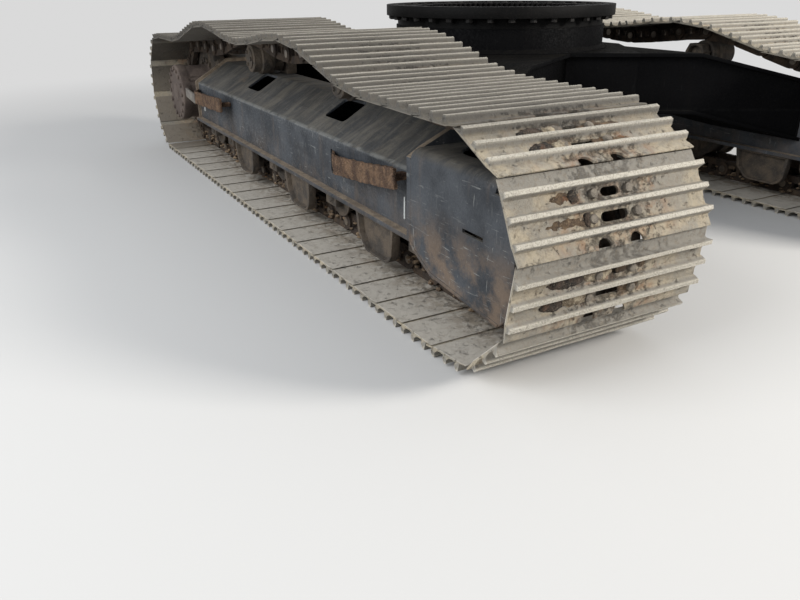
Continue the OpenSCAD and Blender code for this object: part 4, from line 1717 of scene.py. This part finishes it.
HEAPS = (
    Heap(22, 1, 0.147, 0.040, "dark"), Heap(22, 1, 0.180, 0.110, "red"),
    Heap(22, 0, 0.112, 0.036, "dark"), Heap(22, 0, 0.190, 0.150, "red"),
    Heap(22, 0, 0.090, 0.030, "pale"), Heap(21, 1, 0.192, 0.140, "dark"),
    Heap(21, 1, 0.070, 0.120, "pale"), Heap(21, 1, -0.070, 0.130, "red"),
    Heap(21, 0, 0.228, 0.095, "dark"), Heap(21, 0, 0.135, 0.120, "pale"),
    Heap(21, 0, -0.080, 0.090, "red"), Heap(23, 1, 0.158, 0.100, "dark"),
    Heap(23, 1, 0.085, 0.070, "pale"), Heap(23, 1, -0.110, 0.190, "red"),
    Heap(23, 0, 0.165, 0.085, "dark"), Heap(23, 0, 0.100, 0.070, "pale"),
    Heap(23, 0, -0.110, 0.150, "red"), Heap(24, 1, -0.160, 0.150, "dark"),
    Heap(24, 0, -0.280, 0.100, "red"), Heap(26, 1, 0.060, 0.090, "pale"),
    Heap(20, 1, 0.100, 0.110, "red"), Heap(20, 0, 0.080, 0.070, "pale"),
    Heap(4, 0, 0.120, 0.100, "dark"), Heap(40, 1, -0.100, 0.120, "red"),
    Heap(41, 0, 0.090, 0.090, "dark"), Heap(44, 1, 0.120, 0.100, "red"),
    Heap(45, 0, -0.080, 0.120, "pale"), Heap(46, 1, 0.060, 0.100, "dark"),
    Heap(33, 0, 0.100, 0.090, "red"), Heap(29, 1, -0.150, 0.110, "pale"),
)


@dataclass
class Clods:
    """Lumps of dry mud and stones that sit on the shoes and the links."""

    line: ChainLine
    looks: dict[str, Finish]
    valley_out: float = 0.0665
    valleys: Span = (-0.0345, 0.0410)
    cake_width: float = 0.046
    cake_depth: float = 0.016
    film: float = 0.005
    ragged: float = 0.010
    grains: float = 0.0045
    near_shoes: tuple[int, ...] = (20, 21, 22, 23)
    heaped: int = 23
    heaped_by: float = 1.7
    kinds: int = 5
    low_links: int = 19
    lumps: int = 9
    seed: int = 11

    def lump(self, rng: random.Random) -> Piece:
        """Model one rough lump about its own middle, 1 wide.

        Args:
            rng: Where the random numbers come from.

        Returns:
            The lump.
        """
        piece = ball(2)
        away = Vector((rng.uniform(0, 50), rng.uniform(0, 50), 0))
        for point in piece.data.vertices:
            point.co *= 0.88 + 0.34 * noise.fractal(point.co * 3.2 + away, 0.8, 2.0, 4)
        return piece

    def cake(self, heap: Heap, place: Matrix, out: int) -> Piece:
        """Model one ragged cake of mud across a valley.

        Args:
            heap: The mud.
            place: The shoe's place.
            out: The sign of the track's Y.

        Returns:
            The cake, in its place.
        """
        spot = Vector((self.valleys[heap.valley], -out * heap.outboard, self.valley_out))
        depth = self.film if heap.kind == "red" else self.cake_depth
        if heap.shoe == self.heaped:
            depth *= self.heaped_by
        piece = ball(4 if heap.shoe in self.near_shoes else 3)
        size = Vector((self.cake_width, heap.length, depth))
        for point in piece.data.vertices:
            way = point.co.normalized()
            point.co *= size
            seed = point.co + spot * 37
            ragged = noise.fractal(seed * 34, 0.9, 2.0, 3) * self.ragged
            grains = noise.fractal(seed * 150, 0.9, 2.0, 2) * self.grains
            point.co += way * Vector((1, 1, 0.35)) * (ragged + grains)
        piece.data.transform(place @ Matrix.Translation(spot))
        return piece

    def link_spots(self, places: Sequence[Matrix], rng: random.Random) -> list[Matrix]:
        """Choose the places of the mud that cakes the sides of the lower links.

        Args:
            places: The shoes' places.
            rng: Where the random numbers come from.

        Returns:
            One matrix for each lump.
        """
        found = []
        low = places[: self.low_links]
        sides = [(place, side) for place in low for side in (-1, 1) for _ in range(self.lumps)]
        for place, side in sides:
            x, y = rng.uniform(-0.105, 0.105), side * (0.098 + rng.uniform(0, 0.012))
            spot = Matrix.Translation((x, y, rng.uniform(-0.030, 0.054)))
            size = rng.uniform(0.016, 0.036)
            spin = Matrix.Rotation(rng.uniform(0, math.tau), 4, "Z")
            flat = size * rng.uniform(0.45, 0.75)
            found.append(place @ spot @ spin @ Matrix.Diagonal((size * 1.3, size, flat, 1)))
        return found

    def build(self) -> None:
        """Lay the lumps."""
        rng = random.Random(self.seed)
        kinds = [self.lump(rng) for _ in range(self.kinds)]
        for side in Side:
            places = self.line.places(side.value * self.line.gauge_half)
            layers = [
                (f"{kind}_mud", f"{kind}_mud", "shoe_steel", [
                    self.cake(heap, places[heap.shoe], side.value)
                    for heap in HEAPS if heap.kind == kind
                ])
                for kind in ("dark", "pale", "red")
            ]
            spots = enumerate(self.link_spots(places, rng))
            clods = [placed_copy(kinds[i % self.kinds], spot) for i, spot in spots]
            layers.append(("link_mud", "dried_mud", "chain_steel", clods))
            for name, finish, slot, lumps in layers:
                piece = paint(joined(lumps, name), self.looks[finish])
                smooth(piece, 60)
                hand_in(piece, f"{name}_{side.word}")
        for kind in kinds:
            bpy.data.objects.remove(kind)


# The studio


@dataclass
class Studio:
    """The floor, the lights and the camera at the photograph's view."""

    camera_at: tuple[float, ...] = (3.9355, -2.885, 1.221)
    pitch: float = 23.79303637
    yaw: float = 28.80170717
    roll: float = -0.46457114
    lens: float = 32.4606
    sensor: float = 36
    aim: tuple[float, ...] = (0.6, -0.4, 0.4)
    floor_size: float = 400.0
    floor_grey: Colour = (186, 185, 183)
    fade: Span = (3.2, 8.0)
    pale: tuple[float, ...] = (0.70, 0.70, 0.70, 1.0)
    sky: tuple[float, ...] = (0.9, 0.94, 1.0, 1.0)
    sky_strength: float = 0.62

    def camera(self) -> None:
        """Place the camera."""
        pitch, yaw, roll = (math.radians(v) for v in (self.pitch, self.yaw, self.roll))
        flat = math.cos(pitch)
        ahead = Vector((-math.cos(yaw) * flat, math.sin(yaw) * flat, -math.sin(pitch)))
        level = Vector((math.sin(yaw), math.cos(yaw), 0))
        up = level.cross(ahead)
        right = math.cos(roll) * level + math.sin(roll) * up
        top = math.cos(roll) * up - math.sin(roll) * level
        turn = Matrix((right, top, -ahead)).transposed()
        data = bpy.data.cameras.new("camera")
        data.lens, data.sensor_width = self.lens, self.sensor
        camera = bpy.data.objects.new("camera", data)
        camera.matrix_world = Matrix.Translation(self.camera_at) @ turn.to_4x4()
        bpy.context.scene.collection.objects.link(camera)
        bpy.context.scene.camera = camera

    def floor(self) -> None:
        """Lay a plain pale floor that fades into the backdrop, so that no horizon shows."""
        deselect()
        bpy.ops.mesh.primitive_plane_add(size=self.floor_size, location=(0, 0, 0))
        floor = bpy.context.object
        floor.name = "floor"
        graph = Graph("floor")
        paint(floor, graph.finish(self.floor_grey, 0.9))
        distance = graph.node("VectorMath", {0: graph.place}, operation="LENGTH")
        far = graph.ramp(distance.outputs["Value"], *self.fade)
        glow = graph.node("Emission", {"Color": self.pale}).outputs[0]
        share = graph.times(far, graph.seen())
        graph.shine(share, graph.shader.outputs[0], glow, "Material Output")

    def lamp(self, name: str, place: Point, size: float, power: float, warmth: Point) -> None:
        """Hang a square soft lamp that points at the machine.

        Args:
            name: Its name.
            place: Where it hangs.
            size: Its side.
            power: Its power in watts.
            warmth: Its colour.
        """
        data = bpy.data.lights.new(name, "AREA")
        data.size, data.energy, data.color = size, power, warmth
        lamp = bpy.data.objects.new(name, data)
        lamp.location = place
        way = Vector(self.aim) - Vector(place)
        lamp.rotation_euler = way.to_track_quat("-Z", "Y").to_euler()
        bpy.context.scene.collection.objects.link(lamp)

    def world(self) -> None:
        """Light the machine evenly from all round, before a plain pale backdrop."""
        world = bpy.data.worlds.new("studio")
        world.use_nodes = True
        sky = Tree(world.node_tree)
        light = sky.tree.nodes["Background"]
        sky.feed(light.inputs["Color"], self.sky)
        sky.feed(light.inputs["Strength"], self.sky_strength)
        backdrop = sky.node("Background", {"Color": self.pale})
        sky.shine(sky.seen(), light.outputs[0], backdrop.outputs[0], "World Output")
        bpy.context.scene.world = world

    def build(self) -> None:
        """Set the view transform and build the studio."""
        bpy.context.scene.view_settings.view_transform = "Standard"
        self.camera()
        self.floor()
        self.lamp("key", (7.6, 4.6, 4.7), 2.4, 1150, (1.0, 0.965, 0.91))
        self.lamp("fill", (1.5, -8.0, 4.5), 6.0, 700, (0.96, 0.98, 1.0))
        self.world()


def main() -> None:
    """Build the machine's classes in order."""
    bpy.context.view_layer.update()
    line = ChainLine()
    looks = {finish.name: finish.make() for finish in FINISHES}
    Tracks(line, looks).build()
    Solids(looks).build()
    Fasteners(line, looks).build()
    Marks(looks).build()
    Welds(line, looks).build()
    Clods(line, looks).build()
    Studio().build()


if __name__ == "__main__":
    logging.basicConfig(level=logging.INFO, format="%(message)s")
    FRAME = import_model()
    main()
